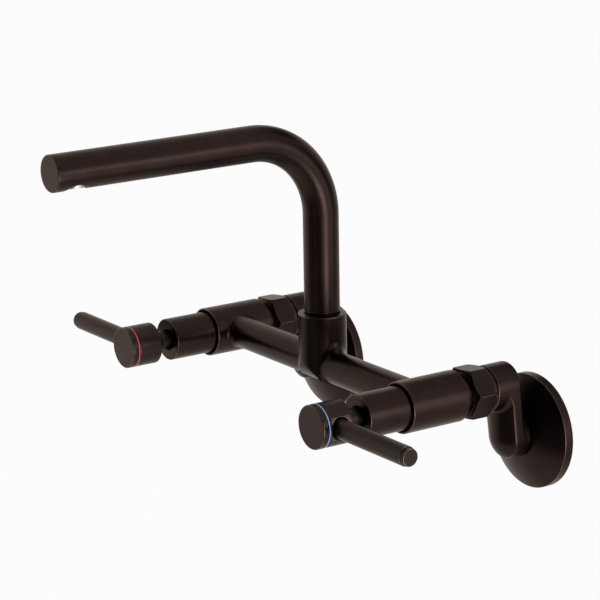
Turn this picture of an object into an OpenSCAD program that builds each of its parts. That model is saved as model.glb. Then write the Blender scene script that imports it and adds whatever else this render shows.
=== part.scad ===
// Wall-mounted kitchen faucet with two lever handles, a bridge body and a swivel spout.
// The wall is the plane y = 0, the faucet stands out of it towards -y, z is up.
// The origin is midway between the two wall inlets. The hot side is at -x, the cold side at +x.

/* [Layout] */
// Distance between the two valve axes
valve_spacing = 204; // [190:1:220]
// Distance from the wall to the rear crease of the swing arms
arm_stand = 20.9; // [20.4:0.1:26]
// Distance between a swing arm's two axes
arm_offset = 31; // [29:0.5:33]
// Angle by which each arm is swung outwards from straight down
arm_swing = 3; // [0:0.5:8]

/* [Body casting] */
// Radius of the cross tube
cross_r = 9.85; // [9:0.05:11]
// Radius of the water channel in the cross tube
cross_bore_r = 6.2; // [5:0.1:6.6]
// Radius of a valve barrel
barrel_r = 15.15; // [14.8:0.05:17]
// Length of a valve barrel
barrel_len = 39.6; // [39:0.1:44]
// Distance from a barrel's back face forward to the cross tube's axis
barrel_back = 20.6; // [20:0.1:23]
// Bevel on a barrel's outer edges
barrel_bevel = 0.5; // [0.3:0.1:0.8]
// Radius of the recess in a barrel's front face
recess_r = 14.1; // [13.6:0.05:14.3]
// Depth of the recess in a barrel's front face
recess_depth = 3; // [2:0.1:3.5]
// Radius of the valve chamber
chamber_r = 11.8; // [11.2:0.1:12.4]
// Radius of the water way through the valve seat
seat_bore_r = 6.5; // [5.8:0.1:7]
// Outer radius of the union thread behind a barrel
union_thread_r = 12.6; // [12.5:0.05:12.8]
// Length of the union neck behind a barrel
union_neck_len = 13.4; // [12.8:0.1:14.2]
// Length of the thread's run-out groove
runout_len = 2.2; // [1.6:0.1:2.6]
// Depth of the thread's run-out groove
runout_depth = 1; // [0.6:0.1:1.4]
// Radius of the column
column_r = 14.6; // [14.2:0.1:16.4]
// Height of the column's top above the cross tube's axis
column_top = 31.5; // [31:0.5:36]
// Rounding of the column's upper edge
column_round = 1.2; // [0.8:0.1:1.6]
// Radius to which the column's foot is rounded under the cross tube
foot_r = 14.95; // [14.95:0.05:16.8]
// Height of the foot's lowest line above the cross tube's lowest line
foot_lift = 0.1; // [0.05:0.05:0.5]

/* [Spout] */
// Outer radius of the spout tube
spout_r = 10.75; // [10.5:0.05:10.9]
// Wall of the spout tube
spout_wall = 1.4; // [1.2:0.05:1.6]
// Height of the spout's horizontal run above the cross tube's axis
spout_rise = 140.3; // [120:1:170]
// Radius of the bend's centreline
spout_bend_r = 48.4; // [40:0.5:60]
// Distance from the column's axis to the spout's tip face
spout_reach = 181.3; // [150:1:230]
// Thickness of the tip's end cap
cap_plate = 2; // [1.6:0.1:2.4]
// Bevel on the end cap's edge
cap_bevel = 0.4; // [0.2:0.1:0.6]
// Length of the end cap's spigot inside the tube
cap_spigot = 2; // [1.5:0.1:2.4]
// Distance from the tip face back to the outlet's axis
outlet_back = 13.8; // [13.6:0.1:18]
// Radius of the outlet hole in the tube's underside
outlet_r = 8.3; // [8.1:0.05:8.5]
// Depth of the aerator's face above the tube's lowest line
aerator_recess = 2; // [1.6:0.1:2.4]
// Outer radius of the outlet bush
bush_r = 9; // [8.9:0.05:9.1]
// Radius of the thread in the outlet bush
bush_bore_r = 7.9; // [7.8:0.05:8]
// Height of the bush's upper end above the spout's axis
bush_top = 1.5; // [1:0.1:2.5]
// Depth of the shoulder in the bush below the spout's axis
bush_step = 0.25; // [0:0.05:0.6]
// Radius of the hole above the bush's shoulder
bush_neck_r = 6; // [5.4:0.1:6.4]
// Wall of the aerator's shell
shell_wall = 0.95; // [0.8:0.05:1.1]
// Width of the lip that holds the jet insert
shell_lip = 0.7; // [0.5:0.1:1]
// Thickness of that lip
lip_t = 1; // [0.8:0.1:1.3]
// Thickness of the aerator's washer
aerator_washer_t = 1.5; // [1.2:0.1:1.8]
// Radius of the small holes in the jet insert
jet_r = 0.55; // [0.4:0.05:0.7]
// Distance between the rings of holes in the jet insert
jet_step = 2; // [1.7:0.1:2.1]
// Number of rings of holes in the jet insert
jet_rings = 2; // [1:1:2]
// Radial clearance of parts that are brazed or pushed together
braze_gap = 0.05; // [0.03:0.01:0.08]

/* [Spout swivel] */
// Radius of the shank where it runs in the column
shank_r = 9.7; // [9.6:0.05:9.8]
// Radius of the water way through the shank
shank_bore_r = 6.5; // [5.8:0.1:6.7]
// Length of the shank below the tube's end
shank_len = 17.5; // [17.2:0.1:18]
// Length of the shank inside the tube
shank_plug = 15; // [10:0.5:20]
// Radial clearance of a running fit
running_gap = 0.05; // [0.02:0.01:0.1]
// Outer radius of the glide ring round the spout
glide_r = 11.4; // [11.35:0.05:11.8]
// Thickness of the glide ring's floor under the tube's end
glide_floor = 1; // [0.8:0.1:1.4]
// Depth to which the tube's end sits in the column's top
glide_depth = 2; // [1.5:0.1:2.4]
// Thickness of the shank's O-rings
o_ring_d = 1.8; // [1.6:0.1:1.9]
// Height of the lower O-ring above the shank's end
o_ring_low = 3; // [2:0.1:3.4]
// Distance between the two O-rings
o_ring_step = 4.4; // [4:0.1:4.8]
// Depth of the shank's retaining groove
keep_depth = 1.1; // [0.9:0.1:1.5]
// Width of the shank's retaining groove
keep_width = 3; // [2.8:0.1:3.4]
// Depth of the retaining groove's middle below the column's top
keep_below = 7; // [6.6:0.1:7.2]
// Radius of the set screw
set_screw_r = 2; // [1.8:0.1:2.1]
// Radius of the set screw's tip
set_tip_r = 1.2; // [1:0.05:1.25]
// Depth of the set screw's outer end below the column's surface
set_sink = 0.5; // [0.3:0.1:1]

/* [Valve cartridge] */
// Radius of the cartridge's thread
cartridge_r = 10.45; // [10.2:0.05:10.6]
// Length of the cartridge's thread
cartridge_thread = 9; // [8.6:0.1:9.4]
// Radius of the cartridge's flange
flange_r = 11.4; // [11.1:0.05:11.5]
// Thickness of the cartridge's flange
flange_t = 2; // [1.6:0.1:2.4]
// Width across the flats of the cartridge's hexagon
cartridge_af = 19; // [18.4:0.1:19.4]
// Length of the cartridge's hexagon
cartridge_hex = 6; // [5.4:0.1:6.4]
// Radius of the cartridge's upper thread, on which the bonnet is screwed
upper_r = 9; // [8.6:0.05:9.2]
// Length of the cartridge's upper thread
upper_len = 8; // [7.6:0.1:8.4]
// Radius of the cartridge's nose round the stem
nose_r = 7; // [6.6:0.1:7.4]
// Length of the cartridge's nose
nose_len = 6; // [5:0.1:6.6]
// Outer radius of the cage that holds the discs
cage_r = 9.2; // [9.1:0.05:9.3]
// Inner radius of the cage that holds the discs
cage_bore_r = 8; // [7.8:0.05:8.2]
// Half the width of each window in the cage
window_half = 4.6; // [4:0.1:5]
// Depth of the valve seat below the floor of the barrel's recess
seat_depth = 25; // [24.6:0.1:25.6]
// Length of the stem's foot in the cage
dog_len = 8; // [7.6:0.1:8.4]
// Axial play of the stem
stem_play = 0.3; // [0.2:0.05:0.5]
// Thickness of each ceramic disc
disc_t = 3; // [2.6:0.1:3.2]
// Thickness of the seat seal
seal_t = 2.5; // [2.2:0.1:2.8]
// Depth by which the seal stands out of the cage
seal_proud = 2; // [1.6:0.1:2.1]
// Inner radius of the seat seal
seal_bore_r = 6.6; // [6.5:0.05:6.8]
// Radius of the openings in the ceramic discs
port_r = 6; // [5.6:0.1:6.2]
// Angle of each opening in the ceramic discs
port_angle = 70; // [60:1:80]
// Radius of the solid web at the middle of each disc
port_hub_r = 1.6; // [1.4:0.1:2]
// Radius of the stem inside the cartridge
stem_r = 5.5; // [5.3:0.05:5.6]
// Radius of the stem where it leaves the cartridge
journal_r = 4.3; // [4.2:0.05:4.6]
// Radius of the stem's splined end
spline_r = 4; // [3.9:0.05:4.1]
// Number of teeth on the stem's spline
spline_teeth = 20; // [16:1:24]
// Depth of the spline's teeth
spline_depth = 0.4; // [0.3:0.05:0.5]
// Radius of the foot that drives the moving disc
dog_r = 7.5; // [7.2:0.05:7.6]
// Thickness of the stem's O-ring
stem_ring_d = 1.3; // [1.2:0.05:1.4]
// Distance from the stem's shoulder back to its O-ring
stem_ring_back = 8; // [6:0.1:12]

/* [Bonnet and handle] */
// Outer radius of the bonnet
bonnet_r = 12.8; // [12.7:0.05:13.2]
// Length of bonnet that shows in front of the barrel
bonnet_out = 27.4; // [27:0.1:30]
// Wall of the bonnet's skirt
bonnet_wall = 1.2; // [1:0.05:1.2]
// Wall of the bonnet's nose
bonnet_nose_wall = 2.3; // [2:0.1:2.6]
// Thickness of the bonnet's front wall
bonnet_front = 3; // [2.4:0.1:3.4]
// Radius of the hole in the bonnet's front wall
bonnet_hole_r = 6.7; // [6.5:0.05:7]
// Bevel on the bonnet's front edge
bonnet_bevel = 0.4; // [0.2:0.1:0.6]
// Gap between the bonnet's front and the handle drum's back edge
drum_gap = 13.8; // [13.4:0.1:15]
// Length of the handle drum with its ring and cap
drum_len = 19.1; // [18.8:0.1:21]
// Radius of the handle drum
drum_r = 12.5; // [12.3:0.05:13]
// Length of the cone from the drum to its neck
drum_cone = 3.2; // [2.4:0.1:3.6]
// Radius of the handle's neck
neck_r = 6; // [5.8:0.05:6.2]
// Depth to which the neck enters the bonnet
neck_in = 5; // [4.4:0.1:5.4]
// Thickness of the drum's front cap
cap_t = 3.4; // [3:0.1:3.6]
// Bevel on the front cap's edge
drum_bevel = 0.5; // [0.3:0.1:0.8]
// Thickness of the coloured index ring at its clamped part
ring_t = 1.5; // [1.4:0.1:1.7]
// Width of the index ring's coloured band
ring_band = 1; // [0.8:0.05:1.1]
// Height by which the index ring stands proud of the drum
ring_proud = 0.05; // [0:0.05:0.15]
// Inner radius of the index ring
ring_bore_r = 11; // [10.6:0.05:11.2]
// Radial thickness of the ring's clamped part
ring_web = 0.9; // [0.6:0.05:1]
// Radius of the front cap's threaded spigot
spigot_r = 7.6; // [7.3:0.05:7.8]
// Length of the front cap's threaded spigot
spigot_len = 2.8; // [2.4:0.1:3]
// Depth to which the stem enters the handle's neck
stem_in = 13.4; // [12.6:0.1:14]
// Gap between the stem's end and the bottom of its bore
stem_end_gap = 0.4; // [0.2:0.1:0.6]
// Radius of the pocket for the handle screw's head
pocket_r = 4.2; // [4:0.05:4.3]
// Thickness of the web under the handle screw's head
web_t = 2.8; // [2.4:0.1:3.2]
// Radius of the handle screw's head
screw_head_r = 3.6; // [3.3:0.05:3.8]
// Height of the handle screw's head
screw_head_h = 2.6; // [2.2:0.1:2.8]
// Radius of the handle screw's shank
screw_r = 2; // [1.8:0.05:2.1]
// Length of the handle screw's shank
screw_len = 10; // [8:0.5:10.5]

/* [Lever] */
// Distance from the valve's axis to the lever tip's face
lever_reach = 75.8; // [65:0.5:95]
// Radius of the lever rod
lever_r = 5.7; // [5.4:0.05:5.9]
// Distance from the drum's front face back to the lever's axis
lever_back = 12; // [11.8:0.05:12.4]
// Radius of the counterbore in the drum round the lever
lever_seat_r = 6.6; // [6.4:0.05:6.8]
// Distance from the valve's axis to the counterbore's floor
lever_seat = 10; // [9.6:0.1:10.2]
// Radius of the lever's threaded tenon
tenon_r = 4; // [3.6:0.05:4.1]
// Distance from the valve's axis to the tenon's end
tenon_end = 5.4; // [5.2:0.1:6]
// Bevel on the rod's outer edge
lever_bevel = 0.4; // [0.2:0.1:0.6]
// Radius of the lever's tip
tip_r = 5.1; // [4.8:0.05:5.4]
// Length of the lever's tip that shows
tip_len = 2.4; // [2:0.1:3]
// Bevel on the lever tip's edge
tip_bevel = 0.8; // [0.4:0.1:1]
// Width of the groove between rod and tip
tip_groove = 0.6; // [0.4:0.1:0.9]
// Radius at the bottom of the groove between rod and tip
tip_groove_r = 4.2; // [3.6:0.1:4.4]
// Radius of the tip's threaded spigot
tip_spigot_r = 2.5; // [2:0.1:2.8]
// Length of the tip's threaded spigot
tip_spigot = 7; // [5:0.5:9]

/* [Union] */
// Width across the flats of the union nut
nut_af = 28.4; // [28:0.1:31]
// Length of the union nut
nut_len = 16.2; // [15.6:0.1:16.6]
// Radius of the nut's front face, where its long chamfer starts
nut_front_r = 13; // [12.9:0.1:13.6]
// Length of the cone that chamfers the nut's front
nut_front_cone = 6.2; // [4:0.1:6.6]
// Radius of the nut's back face, where its short chamfer starts
nut_face_r = 14; // [13.4:0.1:14]
// Length of the cone that chamfers the nut's back
nut_chamfer = 1.5; // [1:0.1:1.8]
// Thickness of the nut's inner lip
nut_lip = 2.1; // [1.8:0.1:2.4]
// Radial clearance between the nut's lip and the tail
lip_gap = 0.3; // [0.2:0.05:0.4]
// Gap between the nut and the arm's collar
nut_gap = 0.3; // [0.2:0.05:0.5]
// Thickness of the union washer
washer_t = 2; // [1.8:0.1:2.2]
// Inner radius of the union washer
washer_bore_r = 8; // [7.6:0.1:8.6]
// Thickness of the tail's shoulder
shoulder_t = 2; // [1.8:0.1:2.2]
// Radius of the tail's shoulder
shoulder_r = 12.1; // [11.8:0.05:12.3]
// Radius of the tail's tube
tail_r = 10.2; // [9.8:0.05:10.4]
// Radius of the tail's water way
tail_bore_r = 7; // [6.6:0.1:7.4]
// Length of the tail inside the swing arm
tail_in = 9.2; // [8.4:0.1:10]

/* [Swing arm] */
// Thickness of the arm between its two creases
arm_web = 6.2; // [5.4:0.1:6.4]
// Length of the upper boss in front of the front crease
boss_len = 10.2; // [10:0.1:11.4]
// Radius of the upper boss
boss_r = 13.8; // [13.4:0.1:15.2]
// Bevel on the upper boss's front edge
boss_bevel = 0.6; // [0.3:0.1:0.9]
// Radius of the arm's lower end
low_r = 13; // [12.8:0.1:13.6]
// Radius of the collar in front of the upper boss
collar_r = 12.9; // [12.6:0.1:13.1]
// Length of the collar in front of the upper boss
collar_len = 2.2; // [1.8:0.1:2.6]
// Height of the crown on the arm's front, over the lower end
front_crown = 4.2; // [4:0.1:5]
// Height of the crown on the arm's back, behind the upper end
rear_crown = 3.9; // [3.7:0.1:4.2]
// Width added on each side to work out a crown's radius
crown_margin = 0.3; // [0.2:0.05:0.5]
// Radius of the water way along the arm
arm_bore_r = 5; // [4.4:0.1:5.2]
// Radius of the cross drillings at the arm's two ends
arm_drill_r = 6.4; // [6:0.1:6.8]
// Wall left behind the upper drilling and in front of the lower one
arm_end_wall = 4; // [3.4:0.1:4.4]
// Radius of the arm's neck through the wall flange
arm_neck_r = 13.25; // [13:0.05:13.5]
// Gap between the neck's end and the wall
neck_back = 1.5; // [1:0.1:2]
// Distance from the wall to the shoulder groove's front edge
groove_front = 14.6; // [14.2:0.1:15.2]
// Width of the shoulder groove
groove_w = 1.4; // [1:0.1:1.6]
// Depth of the shoulder groove
groove_depth = 0.9; // [0.6:0.1:1.1]
// Minor radius of the inlet's female thread
inlet_r = 9.32; // [9.1:0.02:9.5]
// Length of the inlet's female thread
inlet_len = 11.5; // [10.5:0.1:12]
// Length of the lead-in chamfer at the inlet's mouth
inlet_chamfer = 1; // [0.6:0.1:1.4]

/* [Wall flange] */
// Radius of the wall flange
wall_flange_r = 34.4; // [32:0.1:38]
// Depth of the flange's rim band
rim_depth = 5.6; // [5:0.1:7]
// Distance from the wall to the edge of the flange's hole
flange_depth = 13.6; // [13.2:0.1:13.9]
// Wall of the flange
flange_wall = 1.5; // [1.2:0.05:1.7]
// Radial clearance between the flange and the arm's neck
flange_gap = 0.35; // [0.3:0.05:0.6]
// Length of the rolled collar round the flange's hole
collar_depth = 4; // [3.6:0.1:4.4]
// Distance from the wall to the rubber ring round the arm's neck
rubber_y = 11.4; // [11.2:0.05:11.6]
// Thickness of the rubber ring round the arm's neck
rubber_d = 1.8; // [1.6:0.1:1.9]

/* [Hidden] */
$fn = 64;
cut = 1;
hot = -1;
cold = 1;
hex_sides = 6;
bronze = "#4b3a34";
dark_bronze = "#3a2d29";
brass = "#b08d4f";
steel = "#a9abad";
ceramic = "#e8e4da";
black_rubber = "#1d1d1d";
white_plastic = "#d9d9d4";
dark_plastic = "#2b2624";

function hex_r(across_flats) = across_flats / 2 / cos(30);
function crown_r(half_width, rise) = (half_width * half_width + rise * rise) / (2 * rise);

valve_x = valve_spacing / 2;
valve_z = arm_offset * cos(arm_swing);
inlet_x = valve_x + arm_offset * sin(arm_swing);

arm_rear_y = -arm_stand;
arm_front_y = arm_rear_y - arm_web;
boss_y = arm_front_y - boss_len;
collar_y = boss_y - collar_len;
tail_end_y = collar_y + tail_in;
nut_back_y = collar_y - nut_gap;
nut_front_y = nut_back_y - nut_len;
lip_y = nut_back_y - nut_lip;
shoulder_y = lip_y - running_gap - shoulder_t;
washer_y = shoulder_y - running_gap - washer_t;
neck_end_y = washer_y;
barrel_back_y = neck_end_y - union_neck_len;
barrel_front_y = barrel_back_y - barrel_len;
axis_y = barrel_back_y - barrel_back;
recess_y = barrel_front_y + recess_depth;
seat_y = recess_y + seat_depth;

cartridge_thread_y = recess_y + cartridge_thread;
cartridge_flange_y = recess_y - flange_t;
cartridge_hex_y = cartridge_flange_y - cartridge_hex;
cartridge_upper_y = cartridge_hex_y - upper_len;
cartridge_nose_y = cartridge_upper_y - nose_len;
cage_end_y = seat_y - seal_proud;
seal_y = seat_y - seal_t;
fixed_disc_y = seal_y - disc_t;
moving_disc_y = fixed_disc_y - disc_t - running_gap;
dog_y = moving_disc_y - dog_len;
cage_bore_y = dog_y - stem_play;
stem_shoulder_y = cartridge_upper_y + stem_play;
stem_ring_y = stem_shoulder_y + stem_ring_back;
stem_ring_mid_r = stem_r - stem_ring_d / 2;
stem_groove_r = stem_r - stem_ring_d - running_gap;
stem_groove_w = stem_ring_d + 0.3;

bonnet_y = barrel_front_y - bonnet_out;
bonnet_skirt_r = bonnet_r - bonnet_wall;
bonnet_nose_r = bonnet_r - bonnet_nose_wall;
bonnet_ring_y = cartridge_hex_y - 1;

drum_back_y = bonnet_y - drum_gap;
drum_front_y = drum_back_y - drum_len;
cap_back_y = drum_front_y + cap_t;
hub_front_y = cap_back_y + ring_t;
handle_neck_y = bonnet_y + neck_in;
journal_y = handle_neck_y + running_gap;
stem_end_y = handle_neck_y - stem_in;
stem_bore_y = stem_end_y - stem_end_gap;
pocket_y = stem_bore_y - web_t;
lever_y = drum_front_y + lever_back;
rod_end = lever_reach - tip_len - tip_groove;

front_apex_y = arm_front_y - front_crown;
rear_apex_y = arm_rear_y + rear_crown;
front_crown_r = crown_r(low_r + crown_margin, front_crown);
rear_crown_r = crown_r(boss_r + crown_margin, rear_crown);
low_drill_y = front_apex_y + arm_end_wall;
high_drill_y = rear_apex_y - arm_end_wall;
channel_y = (low_drill_y + high_drill_y) / 2;

flange_hole_r = arm_neck_r + flange_gap;
rim_in_r = wall_flange_r - flange_wall;
dome_y = (pow(wall_flange_r, 2) - pow(flange_hole_r, 2) + pow(rim_depth, 2) - pow(flange_depth, 2))
    / (2 * (flange_depth - rim_depth));
dome_r = sqrt(pow(wall_flange_r, 2) + pow(rim_depth + dome_y, 2));
rubber_out_r = flange_hole_r - running_gap;
rubber_mid_r = rubber_out_r - rubber_d / 2;
rubber_groove_r = rubber_out_r - rubber_d - running_gap;
rubber_groove_w = rubber_d + 0.4;

column_z = valve_z + column_top;
foot_z = valve_z - cross_r + foot_lift;
spout_z = valve_z + spout_rise;
spout_in_r = spout_r - spout_wall;
tube_fit_r = spout_in_r - braze_gap;
tube_low_z = column_z - glide_depth;
glide_z = tube_low_z - glide_floor;
shank_z = tube_low_z - shank_len;
shank_seat_r = shank_r + running_gap;
shank_floor_z = shank_z - 0.5;
bend_z = spout_z - spout_bend_r;
bend_y = axis_y - spout_bend_r;
tip_y = axis_y - spout_reach;
tube_end_y = tip_y + cap_plate;
outlet_y = tip_y + outlet_back;
o_ring_mid_r = shank_r - o_ring_d / 2;
o_ring_groove_r = shank_r - o_ring_d - running_gap;
o_ring_groove_w = o_ring_d + 0.4;
o_ring_zs = [shank_z + o_ring_low, shank_z + o_ring_low + o_ring_step];
keep_z = column_z - keep_below;
keep_r = shank_r - keep_depth;
set_end_r = column_r - set_sink;

aerator_z = spout_z - spout_r + aerator_recess;
aerator_top_z = spout_z - bush_step - aerator_washer_t;
shell_out_r = bush_bore_r - braze_gap;
shell_in_r = shell_out_r - shell_wall;

// Solid of revolution about the y axis from a flat shape in radius and y
module turned_shape() {
    rotate([-90, 0, 0])
        rotate_extrude()
            children();
}

// Solid of revolution about the y axis from [radius, y] points
module turned(points) {
    turned_shape()
        polygon(points);
}

// Round bar along y
module bar(r, y0, y1) {
    translate([0, y0, 0])
        rotate([-90, 0, 0])
            cylinder(h = y1 - y0, r = r);
}

// Hexagonal bar along y, with flats at the top and bottom
module hex_bar(r, y0, y1) {
    translate([0, y0, 0])
        rotate([-90, 0, 0])
            cylinder(h = y1 - y0, r = r, $fn = hex_sides);
}

// Plain ring about the y axis
module sleeve(r_out, r_in, y0, y1) {
    turned([[r_in, y0], [r_out, y0], [r_out, y1], [r_in, y1]]);
}

// Round rubber ring about the y axis
module rubber_ring(mid_r, thickness, y) {
    translate([0, y, 0])
        turned_shape()
            translate([mid_r, 0])
                circle(d = thickness);
}

// Upright round bar
module post(r, z0, z1) {
    translate([0, axis_y, z0])
        cylinder(h = z1 - z0, r = r);
}

// Horizontal round bar along x, standing out to one side from x0 to x1
module side_bar(side, r, x0, x1, y) {
    translate([side * x0, y, 0])
        rotate([0, side * 90, 0])
            cylinder(h = x1 - x0, r = r);
}

module at_valve(side) {
    translate([side * valve_x, 0, valve_z])
        children();
}

// Local frame of a swing arm: the lower axis through the origin, the upper one above it
module in_arm(side) {
    translate([side * inlet_x, 0, 0])
        rotate([0, -side * arm_swing, 0])
            children();
}

module barrel_casting() {
    turned([
        [0, barrel_front_y], [barrel_r - barrel_bevel, barrel_front_y],
        [barrel_r, barrel_front_y + barrel_bevel], [barrel_r, barrel_back_y - barrel_bevel],
        [barrel_r - barrel_bevel, barrel_back_y], [union_thread_r - runout_depth, barrel_back_y],
        [union_thread_r - runout_depth, barrel_back_y + runout_len],
        [union_thread_r, barrel_back_y + runout_len], [union_thread_r, neck_end_y], [0, neck_end_y]
    ]);
}

module barrel_bores() {
    turned([
        [0, barrel_front_y - cut], [recess_r, barrel_front_y - cut], [recess_r, recess_y],
        [cartridge_r + running_gap, recess_y], [cartridge_r + running_gap, cartridge_thread_y],
        [chamber_r, cartridge_thread_y], [chamber_r, seat_y], [seat_bore_r, seat_y],
        [seat_bore_r, neck_end_y + cut], [0, neck_end_y + cut]
    ]);
}

// Upright column whose lower end is rounded about the x axis, so that it runs out under the cross tube
module column_casting() {
    intersection() {
        translate([0, axis_y, 0])
            rotate_extrude()
                union() {
                    translate([0, foot_z - cut])
                        square([column_r, column_z - column_round - foot_z + cut]);
                    translate([0, foot_z])
                        square([column_r - column_round, column_z - foot_z]);
                    translate([column_r - column_round, column_z - column_round])
                        circle(r = column_round);
                }
        union() {
            translate([-2 * foot_r, axis_y, foot_z + foot_r])
                rotate([0, 90, 0])
                    cylinder(h = 4 * foot_r, r = foot_r);
            translate([-2 * foot_r, axis_y - 2 * foot_r, foot_z + foot_r])
                cube([4 * foot_r, 4 * foot_r, column_z]);
        }
    }
}

module column_bores() {
    post(cross_bore_r, valve_z, shank_floor_z + cut);
    post(shank_seat_r, shank_floor_z, column_z + cut);
    post(glide_r, glide_z, column_z + cut);
    translate([0, 0, keep_z])
        bar(set_screw_r + running_gap, axis_y + shank_r, axis_y + column_r + cut);
}

module bridge_body() {
    color(bronze)
        difference() {
            union() {
                for (side = [hot, cold])
                    at_valve(side)
                        barrel_casting();
                translate([-valve_x, axis_y, valve_z])
                    rotate([0, 90, 0])
                        cylinder(h = valve_spacing, r = cross_r);
                column_casting();
            }
            for (side = [hot, cold])
                at_valve(side)
                    barrel_bores();
            translate([-valve_x, axis_y, valve_z])
                rotate([0, 90, 0])
                    cylinder(h = valve_spacing, r = cross_bore_r);
            column_bores();
        }
}

// Path of the spout: a round bar that runs down and forward from the two ends of the bend
module spout_run(r, z0, y_end) {
    translate([0, bend_y, bend_z]) {
        rotate([90, 0, 90])
            rotate_extrude(angle = 90)
                translate([spout_bend_r, 0])
                    circle(r = r);
        translate([0, spout_bend_r, 0])
            rotate([180, 0, 0])
                cylinder(h = bend_z - z0, r = r);
        translate([0, 0, spout_bend_r])
            rotate([90, 0, 0])
                cylinder(h = bend_y - y_end, r = r);
    }
}

module spout_tube() {
    color(bronze)
        difference() {
            spout_run(spout_r, tube_low_z, tube_end_y);
            spout_run(spout_in_r, tube_low_z - cut, tube_end_y - cut);
            translate([0, outlet_y, spout_z - 2 * spout_r])
                cylinder(h = 2 * spout_r, r = outlet_r);
        }
}

module spout_shank() {
    color(brass)
        difference() {
            union() {
                post(shank_r, shank_z, tube_low_z);
                post(tube_fit_r, shank_z, tube_low_z + shank_plug);
            }
            post(shank_bore_r, shank_z - cut, tube_low_z + shank_plug + cut);
            for (z = o_ring_zs)
                shank_groove(o_ring_groove_r, z, o_ring_groove_w);
            shank_groove(keep_r, keep_z, keep_width);
        }
}

module shank_groove(bottom_r, z, width) {
    translate([0, axis_y, z - width / 2])
        difference() {
            cylinder(h = width, r = shank_r + cut);
            translate([0, 0, -cut])
                cylinder(h = width + 2 * cut, r = bottom_r);
        }
}

module spout_o_rings() {
    color(black_rubber)
        for (z = o_ring_zs)
            translate([0, axis_y, z])
                rotate_extrude()
                    translate([o_ring_mid_r, 0])
                        circle(d = o_ring_d);
}

module spout_glide_ring() {
    color(dark_plastic)
        difference() {
            post(glide_r - running_gap, glide_z, column_z);
            post(spout_r + running_gap, tube_low_z - running_gap, column_z + cut);
            post(shank_r + 2 * running_gap, glide_z - cut, column_z);
        }
}

module spout_set_screw() {
    color(steel)
        translate([0, 0, keep_z])
            difference() {
                union() {
                    bar(set_tip_r, axis_y + keep_r + lip_gap, axis_y + set_end_r);
                    bar(set_screw_r, axis_y + shank_seat_r + lip_gap, axis_y + set_end_r);
                }
                hex_bar(set_screw_r / 2, axis_y + set_end_r - set_screw_r, axis_y + set_end_r + cut);
            }
}

module spout_end_cap() {
    color(bronze)
        translate([0, 0, spout_z])
            turned([
                [0, tip_y], [spout_r - cap_bevel, tip_y], [spout_r, tip_y + cap_bevel],
                [spout_r, tube_end_y], [tube_fit_r, tube_end_y],
                [tube_fit_r, tube_end_y + cap_spigot], [0, tube_end_y + cap_spigot]
            ]);
}

module outlet_bush() {
    color(brass)
        difference() {
            intersection() {
                translate([0, outlet_y, spout_z - spout_r])
                    cylinder(h = spout_r + bush_top, r = bush_r);
                translate([0, 0, spout_z])
                    bar(tube_fit_r, outlet_y - spout_r, outlet_y + spout_r);
            }
            translate([0, outlet_y, spout_z - spout_r])
                cylinder(h = spout_r - bush_step, r = bush_bore_r);
            translate([0, outlet_y, spout_z - spout_r])
                cylinder(h = 2 * spout_r, r = bush_neck_r);
        }
}

module aerator_shell() {
    color(steel)
        translate([0, outlet_y, 0])
            rotate_extrude()
                polygon([
                    [shell_in_r - shell_lip, aerator_z], [shell_out_r, aerator_z],
                    [shell_out_r, aerator_top_z], [shell_in_r, aerator_top_z],
                    [shell_in_r, aerator_z + lip_t], [shell_in_r - shell_lip, aerator_z + lip_t]
                ]);
}

module aerator_insert() {
    color(white_plastic)
        translate([0, outlet_y, aerator_z + lip_t])
            difference() {
                cylinder(h = aerator_top_z - aerator_z - lip_t, r = shell_in_r - braze_gap);
                translate([0, 0, -cut])
                    for (ring = [0:jet_rings], hole = [0:max(6 * ring, 1) - 1])
                        rotate([0, 0, 360 * hole / max(6 * ring, 1)])
                            translate([ring * jet_step, 0, 0])
                                cylinder(h = spout_r, r = jet_r, $fn = 16);
            }
}

module aerator_washer() {
    color(black_rubber)
        translate([0, outlet_y, aerator_top_z])
            difference() {
                cylinder(h = aerator_washer_t, r = shell_out_r);
                translate([0, 0, -cut])
                    cylinder(h = aerator_washer_t + 2 * cut, r = bush_neck_r);
            }
}

module cartridge_body(side) {
    color(brass)
        at_valve(side)
            difference() {
                union() {
                    turned([
                        [0, cartridge_nose_y], [nose_r, cartridge_nose_y], [nose_r, cartridge_upper_y],
                        [upper_r, cartridge_upper_y], [upper_r, cartridge_flange_y],
                        [flange_r, cartridge_flange_y], [flange_r, recess_y], [cartridge_r, recess_y],
                        [cartridge_r, cartridge_thread_y], [cage_r, cartridge_thread_y],
                        [cage_r, cage_end_y], [0, cage_end_y]
                    ]);
                    hex_bar(hex_r(cartridge_af), cartridge_hex_y, cartridge_flange_y);
                }
                turned([
                    [0, cartridge_nose_y - cut], [journal_r + running_gap, cartridge_nose_y - cut],
                    [journal_r + running_gap, cartridge_upper_y], [stem_r + running_gap, cartridge_upper_y],
                    [stem_r + running_gap, cage_bore_y], [cage_bore_r, cage_bore_y],
                    [cage_bore_r, cage_end_y + cut], [0, cage_end_y + cut]
                ]);
                translate([-2 * cage_r, cartridge_thread_y, -window_half])
                    cube([4 * cage_r, moving_disc_y - cartridge_thread_y, 2 * window_half]);
            }
}

// Outline of the splined shaft, grown outwards by a clearance
function spline_points(gap) = [
    for (i = [0:4 * spline_teeth - 1])
        let (a = 90 * i / spline_teeth, r = spline_r + gap - (i % 4 < 2 ? 0 : spline_depth))
            [r * cos(a), r * sin(a)]
];

module splined_bar(gap, y0, y1) {
    translate([0, y0, 0])
        rotate([-90, 0, 0])
            linear_extrude(height = y1 - y0)
                polygon(spline_points(gap));
}

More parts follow.
